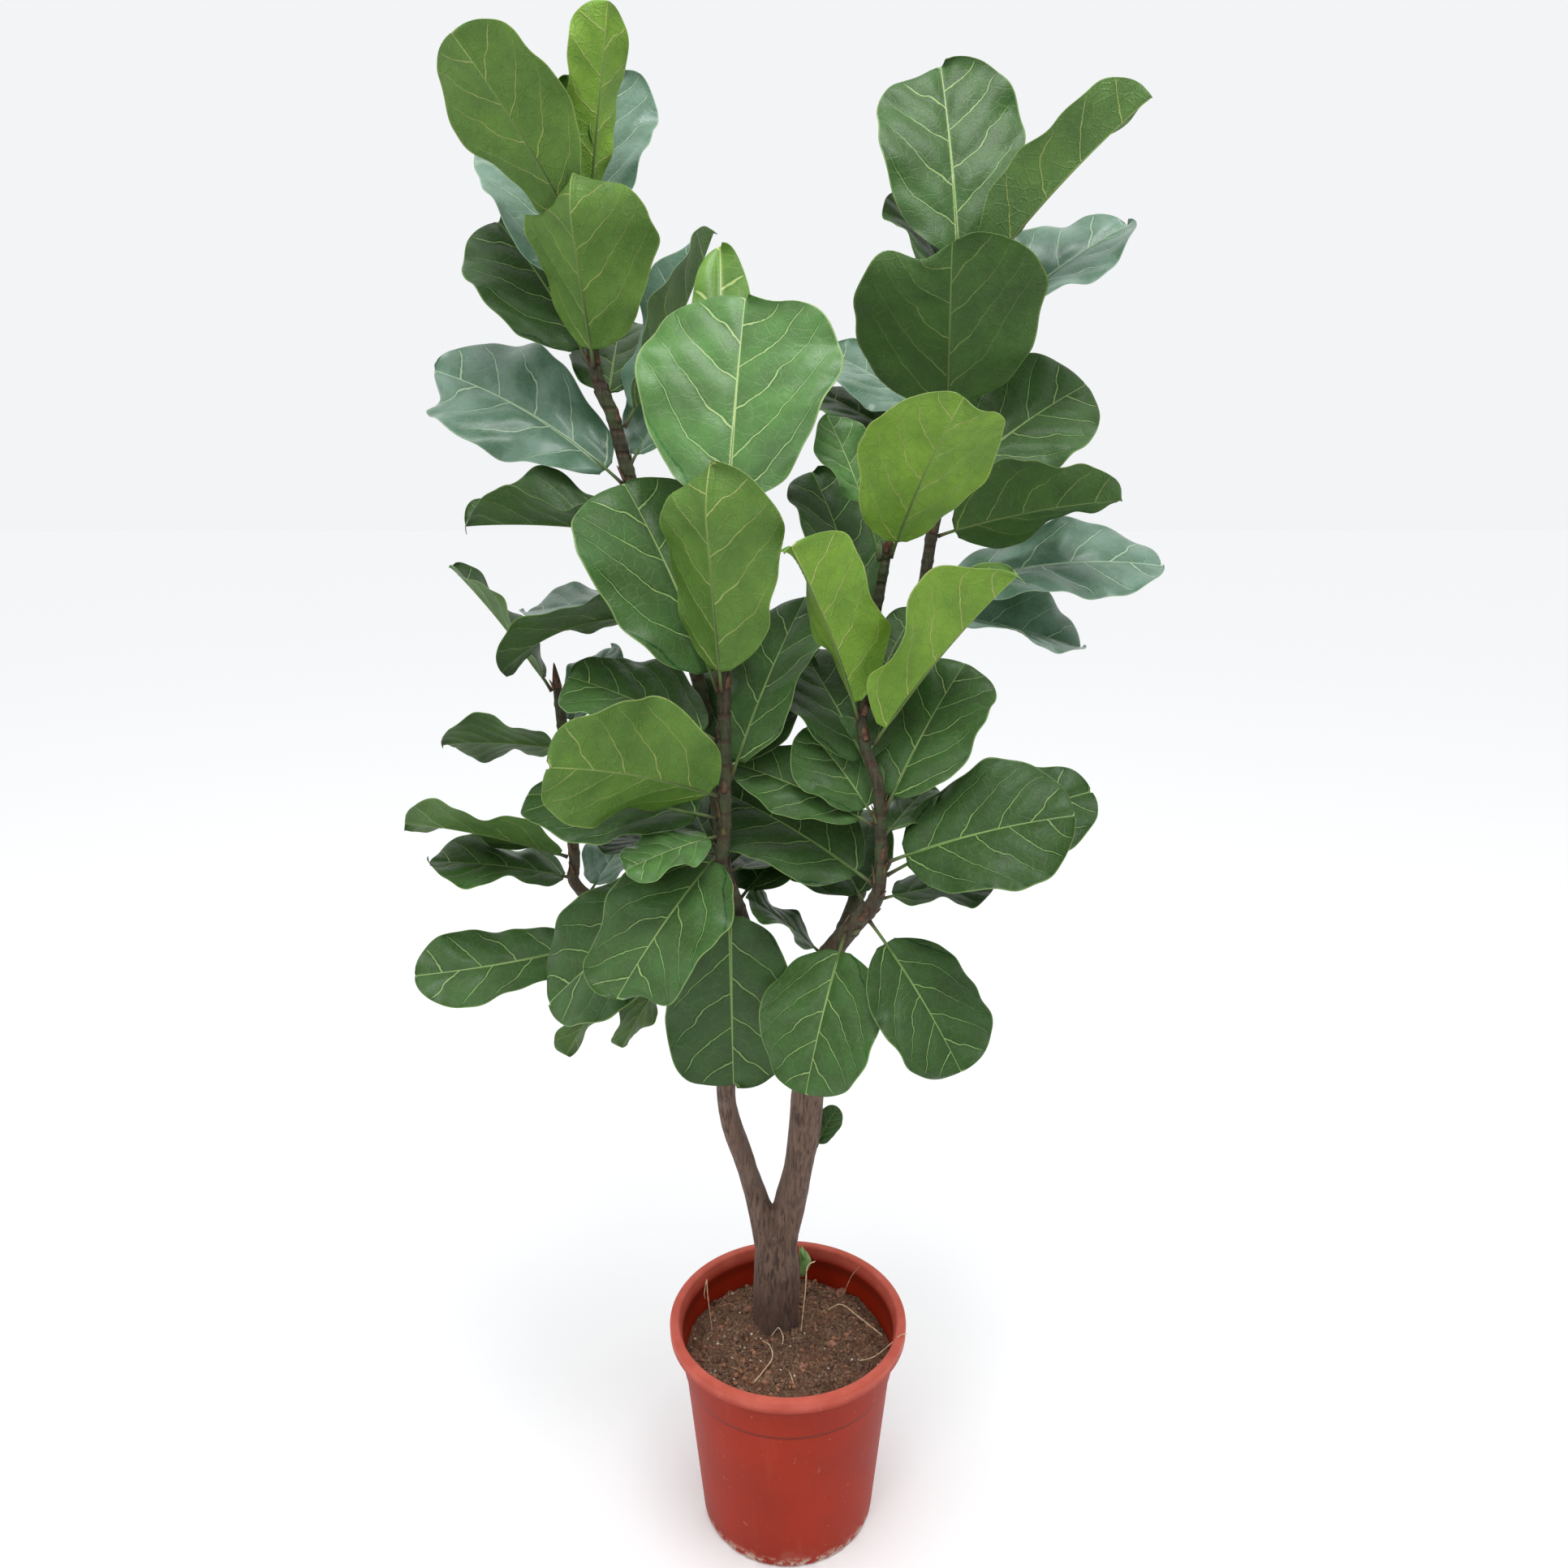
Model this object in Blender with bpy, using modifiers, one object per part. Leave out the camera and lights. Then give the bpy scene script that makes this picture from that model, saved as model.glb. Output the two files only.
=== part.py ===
"""Potted fiddle leaf fig: a plastic nursery pot, its soil, one forked woody plant and its leaves.

Everything is in metres, +Z up, with the origin at the centre of the pot's underside. +X is the
plant's right and -Y is its front. A bearing turns from +X towards +Y, and a rise is the angle
above level.
"""

from math import cos, pi, radians, sin

import bmesh
import bpy
import numpy as np

# ---------------------------------------------------------------- pot
RIM_RADIUS = 0.170
POT_HEIGHT = 0.320
BASE_RADIUS = 0.125
BODY_TOP_RADIUS = 0.1535
WALL = 0.0025
FLOOR = 0.003
LIP_HEIGHT = 0.019
LIP_TOP_WIDTH = 0.013
LIP_ROUND = 0.002
COLLAR_HEIGHT = 0.054
COLLAR_STEP = 0.002
FOOT_ROUND = 0.003
DRAIN_HOLES = 6
DRAIN_RADIUS = 0.008
DRAIN_CIRCLE_RADIUS = 0.085
ROUND_SEGMENTS = 40

# ---------------------------------------------------------------- soil
SOIL_DEPTH_BELOW_RIM = 0.055
SOIL_MOUND = 0.020
SOIL_LUMP = 0.003
SOIL_GAP = 0.0004
SOCKET_GAP = 0.0015
STUB_DEPTH = 0.050

# ---------------------------------------------------------------- woody plant
# PLANT scales every stem and leaf together, and WOOD scales only the thickness of the stems.
PLANT = 1.0
WOOD = 1.0
TRUNK_X = -0.017
TRUNK_Y = 0.035
TRUNK_RADIUS = 0.034
STEM_SIDES = 10

# Each stem is a list of (right, back, height above the soil, radius).
TRUNK = [
    (TRUNK_X, TRUNK_Y, -STUB_DEPTH, TRUNK_RADIUS),
    (TRUNK_X, TRUNK_Y, 0.02, TRUNK_RADIUS),
    (-0.016, 0.035, 0.120, 0.032),
    (-0.019, 0.035, 0.150, 0.024),
    (-0.020, 0.035, 0.166, 0.010),
]
RIGHT_STEM = [
    (-0.012, 0.034, 0.090, 0.0240),
    (-0.006, 0.034, 0.150, 0.0235),
    (0.017, 0.028, 0.270, 0.021),
    (0.027, 0.020, 0.375, 0.0225),
    (0.032, 0.000, 0.500, 0.019),
    (0.045, -0.050, 0.600, 0.015),
    (0.075, -0.080, 0.660, 0.012),
    (0.101, -0.100, 0.700, 0.010),
    (0.109, -0.110, 0.730, 0.0080),
    (0.110, -0.110, 0.770, 0.0075),
    (0.107, -0.110, 0.830, 0.0070),
    (0.103, -0.110, 0.863, 0.0070),
    (0.086, -0.090, 0.916, 0.0065),
    (0.093, -0.080, 0.990, 0.0065),
    (0.100, -0.070, 1.040, 0.0060),
    (0.108, -0.060, 1.085, 0.0060),
    (0.116, -0.060, 1.130, 0.0050),
]
LEFT_STEM = [
    (-0.020, 0.035, 0.095, 0.0240),
    (-0.034, 0.035, 0.160, 0.0195),
    (-0.047, 0.035, 0.210, 0.0160),
    (-0.062, 0.035, 0.263, 0.0142),
    (-0.086, 0.020, 0.374, 0.0135),
    (-0.070, -0.010, 0.510, 0.0120),
    (-0.055, -0.040, 0.630, 0.0115),
    (-0.081, -0.090, 0.750, 0.0090),
    (-0.077, -0.100, 0.800, 0.0085),
    (-0.075, -0.100, 0.967, 0.0080),
    (-0.072, -0.100, 1.165, 0.0060),
]
LOW_LEFT_SHOOT = [
    (-0.075, 0.000, 0.470, 0.0100),
    (-0.189, 0.050, 0.600, 0.0090),
    (-0.283, 0.060, 0.664, 0.0080),
    (-0.288, 0.060, 0.710, 0.0075),
    (-0.291, 0.060, 0.820, 0.0075),
    (-0.295, 0.050, 0.910, 0.0070),
    (-0.298, 0.050, 0.945, 0.0060),
]
HIGH_LEFT_SHOOT = [
    (-0.080, -0.090, 0.770, 0.0085),
    (-0.110, 0.000, 0.950, 0.0090),
    (-0.166, 0.060, 1.093, 0.0090),
    (-0.205, 0.100, 1.214, 0.0090),
    (-0.221, 0.100, 1.280, 0.0090),
    (-0.231, 0.100, 1.302, 0.0090),
    (-0.242, 0.100, 1.346, 0.0080),
    (-0.245, 0.100, 1.450, 0.0070),
    (-0.245, 0.100, 1.520, 0.0050),
]
HIGH_RIGHT_SHOOT = [
    (0.060, -0.070, 0.630, 0.0100),
    (0.128, 0.040, 0.773, 0.0090),
    (0.162, 0.110, 0.930, 0.0085),
    (0.178, 0.120, 1.060, 0.0080),
    (0.186, 0.120, 1.125, 0.0080),
    (0.195, 0.120, 1.210, 0.0080),
    (0.204, 0.120, 1.290, 0.0075),
    (0.214, 0.120, 1.454, 0.0060),
]
STEMS = [TRUNK, RIGHT_STEM, LEFT_STEM, LOW_LEFT_SHOOT, HIGH_LEFT_SHOOT, HIGH_RIGHT_SHOOT]

# ---------------------------------------------------------------- leaves
LEAF_LENGTH = 1.0  # scales every leaf's length
LEAF_WIDTH = 1.0  # scales every leaf's width
BLADE_THICKNESS = 0.0012
STALK_THICKNESS = 0.0035
STALK_WIDTH = 0.0045
STALK_GAP = 0.0004
MARGIN_WAVE = 0.009
WAVES_PER_LEAF = 1.6

# Share of a leaf's half width at each share of the blade's length: the wide-tipped fiddle
# outline and the plain oval one.
FIDDLE = [
    (0, 0.08), (0.03, 0.28), (0.20, 0.62), (0.45, 0.86), (0.70, 1.0), (0.90, 0.74), (1, 0.22),
]
OVAL = [
    (0, 0.16), (0.03, 0.40), (0.20, 0.86), (0.45, 1.0), (0.70, 0.93), (0.90, 0.63), (1, 0.20),
]
BLADE_ROWS = (0.03, 0.20, 0.45, 0.70, 0.90, 1.0)
BLADE_COLUMNS = (-1, -0.5, 0, 0.5, 1)
CENTRE_STEPS = 60
TIP_START = 0.72  # where the bend of a leaf's tip begins, as a share of its length


def leaf(height, bearing, rise, length, width, roll=0, fold=5, curl=15, twist=0, tip=0, oval=0.5,
         stalk=0.10, cup=0, wave=MARGIN_WAVE):
    """One leaf: where it leaves its stem, where it points, its size and how its blade bends.

    roll turns the blade about its own length, fold raises both halves about the midrib, curl
    and tip droop it along its length, twist winds it, cup bends each half once more, and oval
    goes from the fiddle outline at 0 to the oval one at 1.
    """
    return locals()


LEAVES = [
    ("high_left", HIGH_LEFT_SHOOT, [
        leaf(1.51, 310, 75, 0.218, 0.085, fold=15, curl=0, cup=10, oval=0),
        leaf(1.48, 220, 52, 0.245, 0.165, roll=20, oval=0),
        leaf(1.48, 75, 62, 0.240, 0.135),
        leaf(1.335, 264, 64, 0.228, 0.190, roll=-16, tip=-80, curl=0, fold=24, oval=0.3),
        leaf(1.34, 140, 48, 0.250, 0.180, roll=-30),
        leaf(1.41, 130, 55, 0.270, 0.170, roll=-10),
        leaf(1.295, 90, 36, 0.200, 0.130),
        leaf(1.265, 20, 63, 0.265, 0.120, fold=45, curl=-10),
        leaf(1.195, 160, 28, 0.315, 0.180, roll=-45, curl=25, oval=0, wave=0.014),
        leaf(1.135, 185, 3, 0.215, 0.150, fold=42, roll=-12, wave=0.012),
        leaf(1.22, 60, 40, 0.180, 0.120),
        leaf(1.03, 200, -14, 0.225, 0.140, roll=25, fold=10, curl=60),
    ]),
    ("centre", LEFT_STEM, [
        leaf(1.15, 80, 66, 0.290, 0.240, curl=10, oval=0.3),
        leaf(0.965, 254, 78, 0.262, 0.166, roll=-8, tip=-50, curl=0, fold=24, oval=0.3),
        leaf(0.96, 138, 57, 0.285, 0.220, roll=-15, oval=0.4),
        leaf(0.84, 221, 18, 0.235, 0.175, roll=62, fold=14, twist=35, oval=0.8, stalk=0.06,
             wave=0.012),
        leaf(0.79, 214, -9, 0.125, 0.080, roll=-20),
        leaf(0.735, 183, -38, 0.270, 0.200, roll=-30),
        leaf(0.765, 224, -42, 0.215, 0.175, roll=-10, oval=0.8, stalk=0.04, wave=0.014),
        leaf(0.81, 165, 3, 0.250, 0.170, roll=-25),
        leaf(0.905, 164, 20, 0.200, 0.165, roll=-20),
        leaf(0.762, 160, 2, 0.160, 0.115, stalk=0.25),
        leaf(0.855, 48, 57, 0.250, 0.130),
        leaf(1.12, 93, 60, 0.400, 0.085, fold=8, tip=-20),
        leaf(0.735, 60, -8, 0.170, 0.140),
        leaf(0.71, 270, -98, 0.285, 0.180),
    ]),
    ("low_left", LOW_LEFT_SHOOT, [
        leaf(0.937, 166, 50, 0.205, 0.105, roll=18, fold=20),
        leaf(0.862, 185, 3, 0.148, 0.140, roll=34, stalk=0.04),
        leaf(0.71, 190, 16, 0.215, 0.145, roll=32, fold=10, stalk=0.05, wave=0.010),
        leaf(0.68, 183, 8, 0.190, 0.130, roll=-8, stalk=0.05, wave=0.010),
        leaf(0.605, 190, -8, 0.290, 0.115, roll=-38, curl=-12, oval=0, stalk=0.2),
    ]),
    ("high_right", HIGH_RIGHT_SHOOT, [
        leaf(1.445, 100, 68, 0.290, 0.190, roll=-10, oval=0.3),
        leaf(1.27, 262, 62, 0.235, 0.240, roll=5, curl=-20, fold=10),
        leaf(1.42, 340, 45, 0.290, 0.125, roll=-30, fold=48),
        leaf(1.36, 15, 35, 0.270, 0.150, roll=30, fold=15, wave=0.012),
        leaf(1.42, 125, 50, 0.175, 0.100),
        leaf(1.27, 145, 29, 0.200, 0.140, roll=-25),
        leaf(1.22, 150, 29, 0.195, 0.120, roll=-25),
        leaf(1.13, 336, 12, 0.235, 0.155, roll=-42, fold=20, twist=60, wave=0.011),
        leaf(1.19, 20, 33, 0.245, 0.170, roll=50),
        leaf(1.055, 0, 7, 0.310, 0.150, roll=35, curl=30, oval=0.4),
        leaf(1.03, 5, -13, 0.220, 0.140, roll=30, fold=25),
    ]),
    ("right", RIGHT_STEM, [
        leaf(1.03, 122, 56, 0.220, 0.120),
        leaf(1.11, 147, 66, 0.180, 0.070, roll=-30, stalk=0.4),
        leaf(1.115, 305, 57, 0.210, 0.180, roll=-10, oval=0.25),
        leaf(0.93, 224, 62, 0.233, 0.135, roll=12, fold=42, wave=0.016),
        leaf(0.90, 353, 52, 0.255, 0.160, roll=-18, fold=38, wave=0.016),
        leaf(0.82, 42, 50, 0.215, 0.150, roll=15),
        leaf(0.815, 150, 47, 0.135, 0.110, roll=-40),
        leaf(0.805, 163, 20, 0.185, 0.090, roll=-40),
        leaf(0.73, 150, 22, 0.235, 0.155, roll=-30),
        leaf(0.760, 350, 18, 0.225, 0.175, roll=45, oval=0.55, stalk=0.10),
        leaf(0.742, 17, 17, 0.285, 0.140, roll=40, stalk=0.2),
        leaf(0.71, 10, 5, 0.140, 0.100, roll=10),
        leaf(0.662, 240, -60, 0.200, 0.160, stalk=0.12, oval=0.8),
        leaf(0.680, 319, -48, 0.208, 0.150, roll=20, oval=0.6, stalk=0.16),
        leaf(0.285, 20, 60, 0.065, 0.038, roll=40, wave=0.001),
    ]),
]

# ---------------------------------------------------------------- colours
POT_COLOUR = (0.38, 0.045, 0.025, 1)
SOIL_COLOUR = (0.11, 0.055, 0.03, 1)
WOOD_COLOUR = (0.11, 0.075, 0.05, 1)
LEAF_COLOUR = (0.04, 0.13, 0.035, 1)

LIP_TOP = POT_HEIGHT
LIP_BOTTOM = POT_HEIGHT - LIP_HEIGHT
SHOULDER_TOP = LIP_BOTTOM - COLLAR_HEIGHT
SOIL_EDGE = POT_HEIGHT - SOIL_DEPTH_BELOW_RIM
SOIL_TOP = SOIL_EDGE + SOIL_MOUND


def new_collection(name):
    made = bpy.data.collections.new(name)
    bpy.context.scene.collection.children.link(made)
    return made


def mesh_object(name, mesh, collection):
    made = bpy.data.objects.new(name, mesh)
    collection.objects.link(made)
    return made


def mesh_from(name, points, faces):
    mesh = bpy.data.meshes.new(name)
    mesh.from_pydata(points, [], faces)
    mesh.validate()
    return mesh


def paint(piece, colour, roughness):
    """A material of the piece's own, in one plain colour."""
    made = bpy.data.materials.new(piece.name + "_material")
    made.use_nodes = True
    shader = made.node_tree.nodes["Principled BSDF"]
    shader.inputs["Base Color"].default_value = colour
    shader.inputs["Roughness"].default_value = roughness
    piece.data.materials.clear()
    piece.data.materials.append(made)


def shade_smooth(piece):
    for face in piece.data.polygons:
        face.use_smooth = True


def turned(name, profile, segments, collection):
    """A solid turned about the Z axis from (radius, height) points that start and end on it."""
    count = len(profile)
    edges = [(i, i + 1) for i in range(count - 1)]
    mesh = bpy.data.meshes.new(name)
    mesh.from_pydata([(radius, 0, height) for radius, height in profile], edges, [])
    piece = mesh_object(name, mesh, collection)
    screw = piece.modifiers.new("turn", "SCREW")
    screw.steps = segments
    screw.render_steps = segments
    screw.use_merge_vertices = True
    screw.merge_threshold = 1e-5
    bake_modifiers(piece)
    face_outward(piece)
    shade_smooth(piece)
    return piece


def bake_modifiers(piece):
    """Replaces the piece's mesh with the one that its modifiers make."""
    graph = bpy.context.evaluated_depsgraph_get()
    mesh = bpy.data.meshes.new_from_object(piece.evaluated_get(graph))
    piece.modifiers.clear()
    piece.data = mesh


def face_outward(piece):
    made = bmesh.new()
    made.from_mesh(piece.data)
    bmesh.ops.remove_doubles(made, verts=made.verts, dist=1e-6)
    bmesh.ops.recalc_face_normals(made, faces=made.faces)
    made.to_mesh(piece.data)
    made.free()


def cylinder(name, radius, bottom, top, x, y, sides, collection):
    mesh = bpy.data.meshes.new(name)
    made = bmesh.new()
    bmesh.ops.create_cone(made, cap_ends=True, segments=sides, radius1=radius, radius2=radius,
                          depth=top - bottom)
    made.to_mesh(mesh)
    made.free()
    piece = mesh_object(name, mesh, collection)
    piece.location = (x, y, (top + bottom) / 2)
    piece.hide_render = True
    piece.display_type = "WIRE"
    return piece


def join_or_cut(piece, others, operation):
    for number, other in enumerate(others):
        boolean = piece.modifiers.new(f"{operation.lower()}_{number}", "BOOLEAN")
        boolean.operation = operation
        boolean.solver = "EXACT"
        boolean.object = other


# ---------------------------------------------------------------- the pot
def inner_radius(height):
    """The inside of the pot's wall at this height above the ground."""
    share = height / LIP_BOTTOM
    return BASE_RADIUS + (BODY_TOP_RADIUS - BASE_RADIUS) * share - WALL


def build_pot(parts, cutters):
    outside = [
        (RIM_RADIUS - LIP_TOP_WIDTH, LIP_TOP - LIP_ROUND),
        (RIM_RADIUS - LIP_TOP_WIDTH + LIP_ROUND, LIP_TOP),
        (RIM_RADIUS - LIP_ROUND, LIP_TOP),
        (RIM_RADIUS, LIP_TOP - LIP_ROUND),
        (RIM_RADIUS, LIP_BOTTOM + LIP_ROUND),
        (RIM_RADIUS - LIP_ROUND, LIP_BOTTOM),
        (BODY_TOP_RADIUS + COLLAR_STEP, LIP_BOTTOM),
        (inner_radius(SHOULDER_TOP) + WALL + COLLAR_STEP, SHOULDER_TOP),
        (inner_radius(SHOULDER_TOP) + WALL, SHOULDER_TOP - COLLAR_STEP),
        (BASE_RADIUS, FOOT_ROUND),
        (BASE_RADIUS - FOOT_ROUND, 0),
        (0, 0),
    ]
    inside = [
        (0, FLOOR),
        (inner_radius(FLOOR), FLOOR),
        (inner_radius(LIP_BOTTOM), LIP_BOTTOM),
    ]
    # The outline closes on itself between the inside wall and the lip's inner edge.
    pot = turned("pot", inside + outside, ROUND_SEGMENTS, parts)
    holes = []
    for number in range(DRAIN_HOLES):
        angle = 2 * pi * number / DRAIN_HOLES
        x = DRAIN_CIRCLE_RADIUS * cos(angle)
        y = DRAIN_CIRCLE_RADIUS * sin(angle)
        holes.append(cylinder(f"drain_cutter_{number}", DRAIN_RADIUS, -FLOOR, 2 * FLOOR, x, y, 12,
                              cutters))
    join_or_cut(pot, holes, "DIFFERENCE")
    paint(pot, POT_COLOUR, 0.45)


# ---------------------------------------------------------------- the soil
def build_soil(parts, cutters):
    bottom = FLOOR + SOIL_GAP
    edge = inner_radius(SOIL_EDGE) - SOIL_GAP
    reach = TRUNK_RADIUS * WOOD * PLANT + SOCKET_GAP
    profile = [(0, bottom), (inner_radius(bottom) - SOIL_GAP, bottom), (edge, SOIL_EDGE)]
    rings = 4
    for ring in range(1, rings):
        share = 1 - ring / rings
        rise = SOIL_MOUND * (1 - share ** 2)
        profile.append((edge * share, SOIL_EDGE + rise))
    profile.append((0, SOIL_TOP))
    soil = turned("soil", profile, ROUND_SEGMENTS, parts)
    for point in soil.data.vertices:
        x, y, z = point.co
        far = (x * x + y * y) ** 0.5
        if z > SOIL_EDGE + SOIL_LUMP and far > reach:
            point.co.z += SOIL_LUMP * sin(70 * x) * cos(55 * y)
    socket = cylinder("socket_cutter", reach, SOIL_TOP - STUB_DEPTH - SOCKET_GAP,
                      SOIL_TOP + SOIL_MOUND, TRUNK_X, TRUNK_Y, 24, cutters)
    join_or_cut(soil, [socket], "DIFFERENCE")
    paint(soil, SOIL_COLOUR, 0.95)


# ---------------------------------------------------------------- the woody plant
def stem_points(stem):
    """The stem's middle line and radii, above the ground."""
    points = []
    for right, back, height, radius in stem:
        x = TRUNK_X + (right - TRUNK_X) * PLANT
        y = TRUNK_Y + (back - TRUNK_Y) * PLANT
        buried = min(height, 0)
        points.append((x, y, SOIL_TOP + buried + (height - buried) * PLANT,
                       radius * WOOD * PLANT))
    return points


def tube(name, points, collection):
    """A round bar of changing thickness along the points."""
    curve = bpy.data.curves.new(name, "CURVE")
    curve.dimensions = "3D"
    curve.bevel_depth = 1.0
    curve.bevel_resolution = (STEM_SIDES - 4) // 2
    curve.use_fill_caps = True
    line = curve.splines.new("POLY")
    line.points.add(len(points) - 1)
    for place, (x, y, z, radius) in zip(line.points, points):
        place.co = (x, y, z, 1)
        place.radius = radius
    guide = mesh_object(name + "_guide", curve, collection)
    graph = bpy.context.evaluated_depsgraph_get()
    mesh = bpy.data.meshes.new_from_object(guide.evaluated_get(graph))
    bpy.data.objects.remove(guide)
    bar = mesh_object(name, mesh, collection)
    face_outward(bar)
    return bar


def build_wood(parts, cutters):
    wood = tube("trunk_and_branches", stem_points(STEMS[0]), parts)
    others = []
    for number, stem in enumerate(STEMS[1:]):
        bar = tube(f"stem_{number}", stem_points(stem), cutters)
        bar.hide_render = True
        bar.display_type = "WIRE"
        others.append(bar)
    join_or_cut(wood, others, "UNION")
    shade_smooth(wood)
    paint(wood, WOOD_COLOUR, 0.85)


# ---------------------------------------------------------------- the leaves
def place_on_stem(stem, height):
    """The point, radius and direction of a stem's middle line at a height above the soil."""
    points = stem_points(stem)
    level = SOIL_TOP + height * PLANT
    for low, high in zip(points, points[1:]):
        if level <= high[2] or high is points[-1]:
            share = min(max((level - low[2]) / (high[2] - low[2]), 0), 1)
            found = [a + (b - a) * share for a, b in zip(low, high)]
            way = np.array(high[:3]) - np.array(low[:3])
            return np.array(found[:3]), found[3], way / np.linalg.norm(way)


def half_width(share, oval):
    places = [place for place, _ in FIDDLE]
    fiddle = np.interp(share, places, [width for _, width in FIDDLE])
    rounded = np.interp(share, places, [width for _, width in OVAL])
    return fiddle * (1 - oval) + rounded * oval


def middle_line(start, shape, length):
    """Points along the leaf, with the directions across it and out of its upper face."""
    steps = np.linspace(0, 1, CENTRE_STEPS + 1)
    middles = (steps[1:] + steps[:-1]) / 2
    bend = np.clip((middles - TIP_START) / (1 - TIP_START), 0, 1)
    rises = np.radians(shape["rise"] + shape["curl"] * (0.5 - middles) - shape["tip"] * bend)
    bearing = radians(shape["bearing"])
    along = np.stack([np.cos(rises) * cos(bearing), np.cos(rises) * sin(bearing),
                      np.sin(rises)], -1)
    line = start + np.vstack([np.zeros(3), np.cumsum(along, 0) * length / CENTRE_STEPS])
    along = np.vstack([along[:1], (along[1:] + along[:-1]) / 2, along[-1:]])
    along /= np.linalg.norm(along, axis=1)[:, None]
    level = np.tile([-sin(bearing), cos(bearing), 0.0], (len(along), 1))
    out = np.cross(along, level)
    turn = np.radians(shape["roll"] + shape["twist"] * (steps - 0.5))[:, None]
    across = level * np.cos(turn) + out * np.sin(turn)
    upper = out * np.cos(turn) - level * np.sin(turn)
    return line, across, upper


def at_share(values, share):
    place = share * CENTRE_STEPS
    low = min(int(place), CENTRE_STEPS - 1)
    return values[low] + (values[low + 1] - values[low]) * (place - low)


def leaf_rows(stem, shape):
    """Rows of points across the leaf, from the stalk's foot to the blade's tip, and where
    each row lies on the blade (below 0 on the stalk)."""
    base, stem_radius, stem_way = place_on_stem(stem, shape["height"])
    bearing = radians(shape["bearing"])
    outward = np.array([cos(bearing), sin(bearing), 0])
    first_rise = radians(shape["rise"] + shape["curl"] / 2)
    stalk_way = outward * cos(first_rise) + np.array([0, 0, sin(first_rise)])
    # The more a stalk runs along its stem, the more of its own thickness leans on it.
    lean = abs(float(stalk_way @ stem_way))
    clear = stem_radius + STALK_GAP + lean * STALK_WIDTH / 2
    # A stem that leans along the bearing is wider that way than it is across.
    start = base + outward * clear / np.linalg.norm(np.cross(outward, stem_way))
    length = shape["length"] * PLANT * LEAF_LENGTH
    width = shape["width"] * PLANT * LEAF_WIDTH
    line, across, upper = middle_line(start, shape, length)
    stalk = shape["stalk"]
    places = [(0, -1), (stalk * 0.9, -1)]
    places += [(stalk + (1 - stalk) * share, share) for share in BLADE_ROWS]
    phase = 3 * bearing + 20 * shape["height"]
    fold = radians(shape["fold"])
    cup = radians(shape["cup"])
    rows = []
    for along, share in places:
        centre = at_share(line, along)
        side = at_share(across, along)
        up = at_share(upper, along)
        row = []
        for column in BLADE_COLUMNS:
            out = abs(column)
            if share < 0:
                row.append(centre + side * column * STALK_WIDTH / 2)
                continue
            half = half_width(share, shape["oval"]) * width / 2
            slope = fold + cup * out / 2
            waves = 2 * pi * WAVES_PER_LEAF * share + phase + (0 if column > 0 else 2)
            wave = shape["wave"] * out * out * sin(waves) * min(1, 3 * share)
            sideways = cos(slope) * column * half
            row.append(centre + side * sideways + up * (sin(slope) * out * half + wave))
        rows.append(row)
    return rows, [share for _, share in places]


def build_leaf(name, stem, shape, parts):
    rows, shares = leaf_rows(stem, shape)
    wide = len(BLADE_COLUMNS)
    points = [tuple(point) for row in rows for point in row]
    faces = []
    for row in range(len(rows) - 1):
        for column in range(wide - 1):
            corner = row * wide + column
            faces.append((corner, corner + 1, corner + wide + 1, corner + wide))
    piece = mesh_object(name, mesh_from(name, points, faces), parts)
    thickness = piece.vertex_groups.new(name="thickness")
    for row, share in enumerate(shares):
        stalk = [row * wide + column for column in range(wide)]
        weight = 1.0 if share < 0 else BLADE_THICKNESS / STALK_THICKNESS
        thickness.add(stalk, weight, "REPLACE")
    shell = piece.modifiers.new("thickness", "SOLIDIFY")
    shell.thickness = STALK_THICKNESS
    shell.offset = 0
    shell.vertex_group = "thickness"
    shade_smooth(piece)
    paint(piece, LEAF_COLOUR, 0.4)


def main():
    for old in list(bpy.data.objects):
        bpy.data.objects.remove(old)
    parts = new_collection("potted_fiddle_leaf_fig")
    cutters = new_collection("cutters")
    build_pot(parts, cutters)
    build_soil(parts, cutters)
    build_wood(parts, cutters)
    for shoot, stem, shapes in LEAVES:
        for number, shape in enumerate(shapes, 1):
            build_leaf(f"{shoot}_leaf_{number}", stem, shape, parts)


main()
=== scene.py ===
"""A potted fiddle leaf fig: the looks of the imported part, on a plain pale floor.

All lengths are metres, +Z is up, and the plant's front faces -Y. A bearing turns from +X
towards +Y, and a rise is the angle above level.
"""
from math import cos, exp, hypot, pi, radians, sin

import bmesh
import bpy
import numpy as np
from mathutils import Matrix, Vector, noise


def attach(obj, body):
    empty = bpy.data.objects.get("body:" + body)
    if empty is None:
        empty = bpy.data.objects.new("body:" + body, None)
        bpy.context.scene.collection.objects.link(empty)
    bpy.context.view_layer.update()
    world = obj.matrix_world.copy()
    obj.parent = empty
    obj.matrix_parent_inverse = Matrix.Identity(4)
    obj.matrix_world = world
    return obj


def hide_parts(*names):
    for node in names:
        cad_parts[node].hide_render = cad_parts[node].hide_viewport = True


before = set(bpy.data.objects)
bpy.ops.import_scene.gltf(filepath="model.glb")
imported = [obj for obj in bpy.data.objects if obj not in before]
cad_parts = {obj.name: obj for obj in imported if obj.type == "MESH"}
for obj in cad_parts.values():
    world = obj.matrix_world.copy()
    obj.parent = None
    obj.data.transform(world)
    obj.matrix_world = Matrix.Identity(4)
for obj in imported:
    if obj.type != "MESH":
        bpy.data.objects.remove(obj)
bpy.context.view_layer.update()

SCENE = bpy.context.scene
RNG = np.random.default_rng(7)

# ---------------------------------------------------------------- the stems and leaves
TRUNK_X = -0.017
TRUNK_Y = 0.035
SOIL_EDGE = 0.265
SOIL_TOP = 0.285

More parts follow.
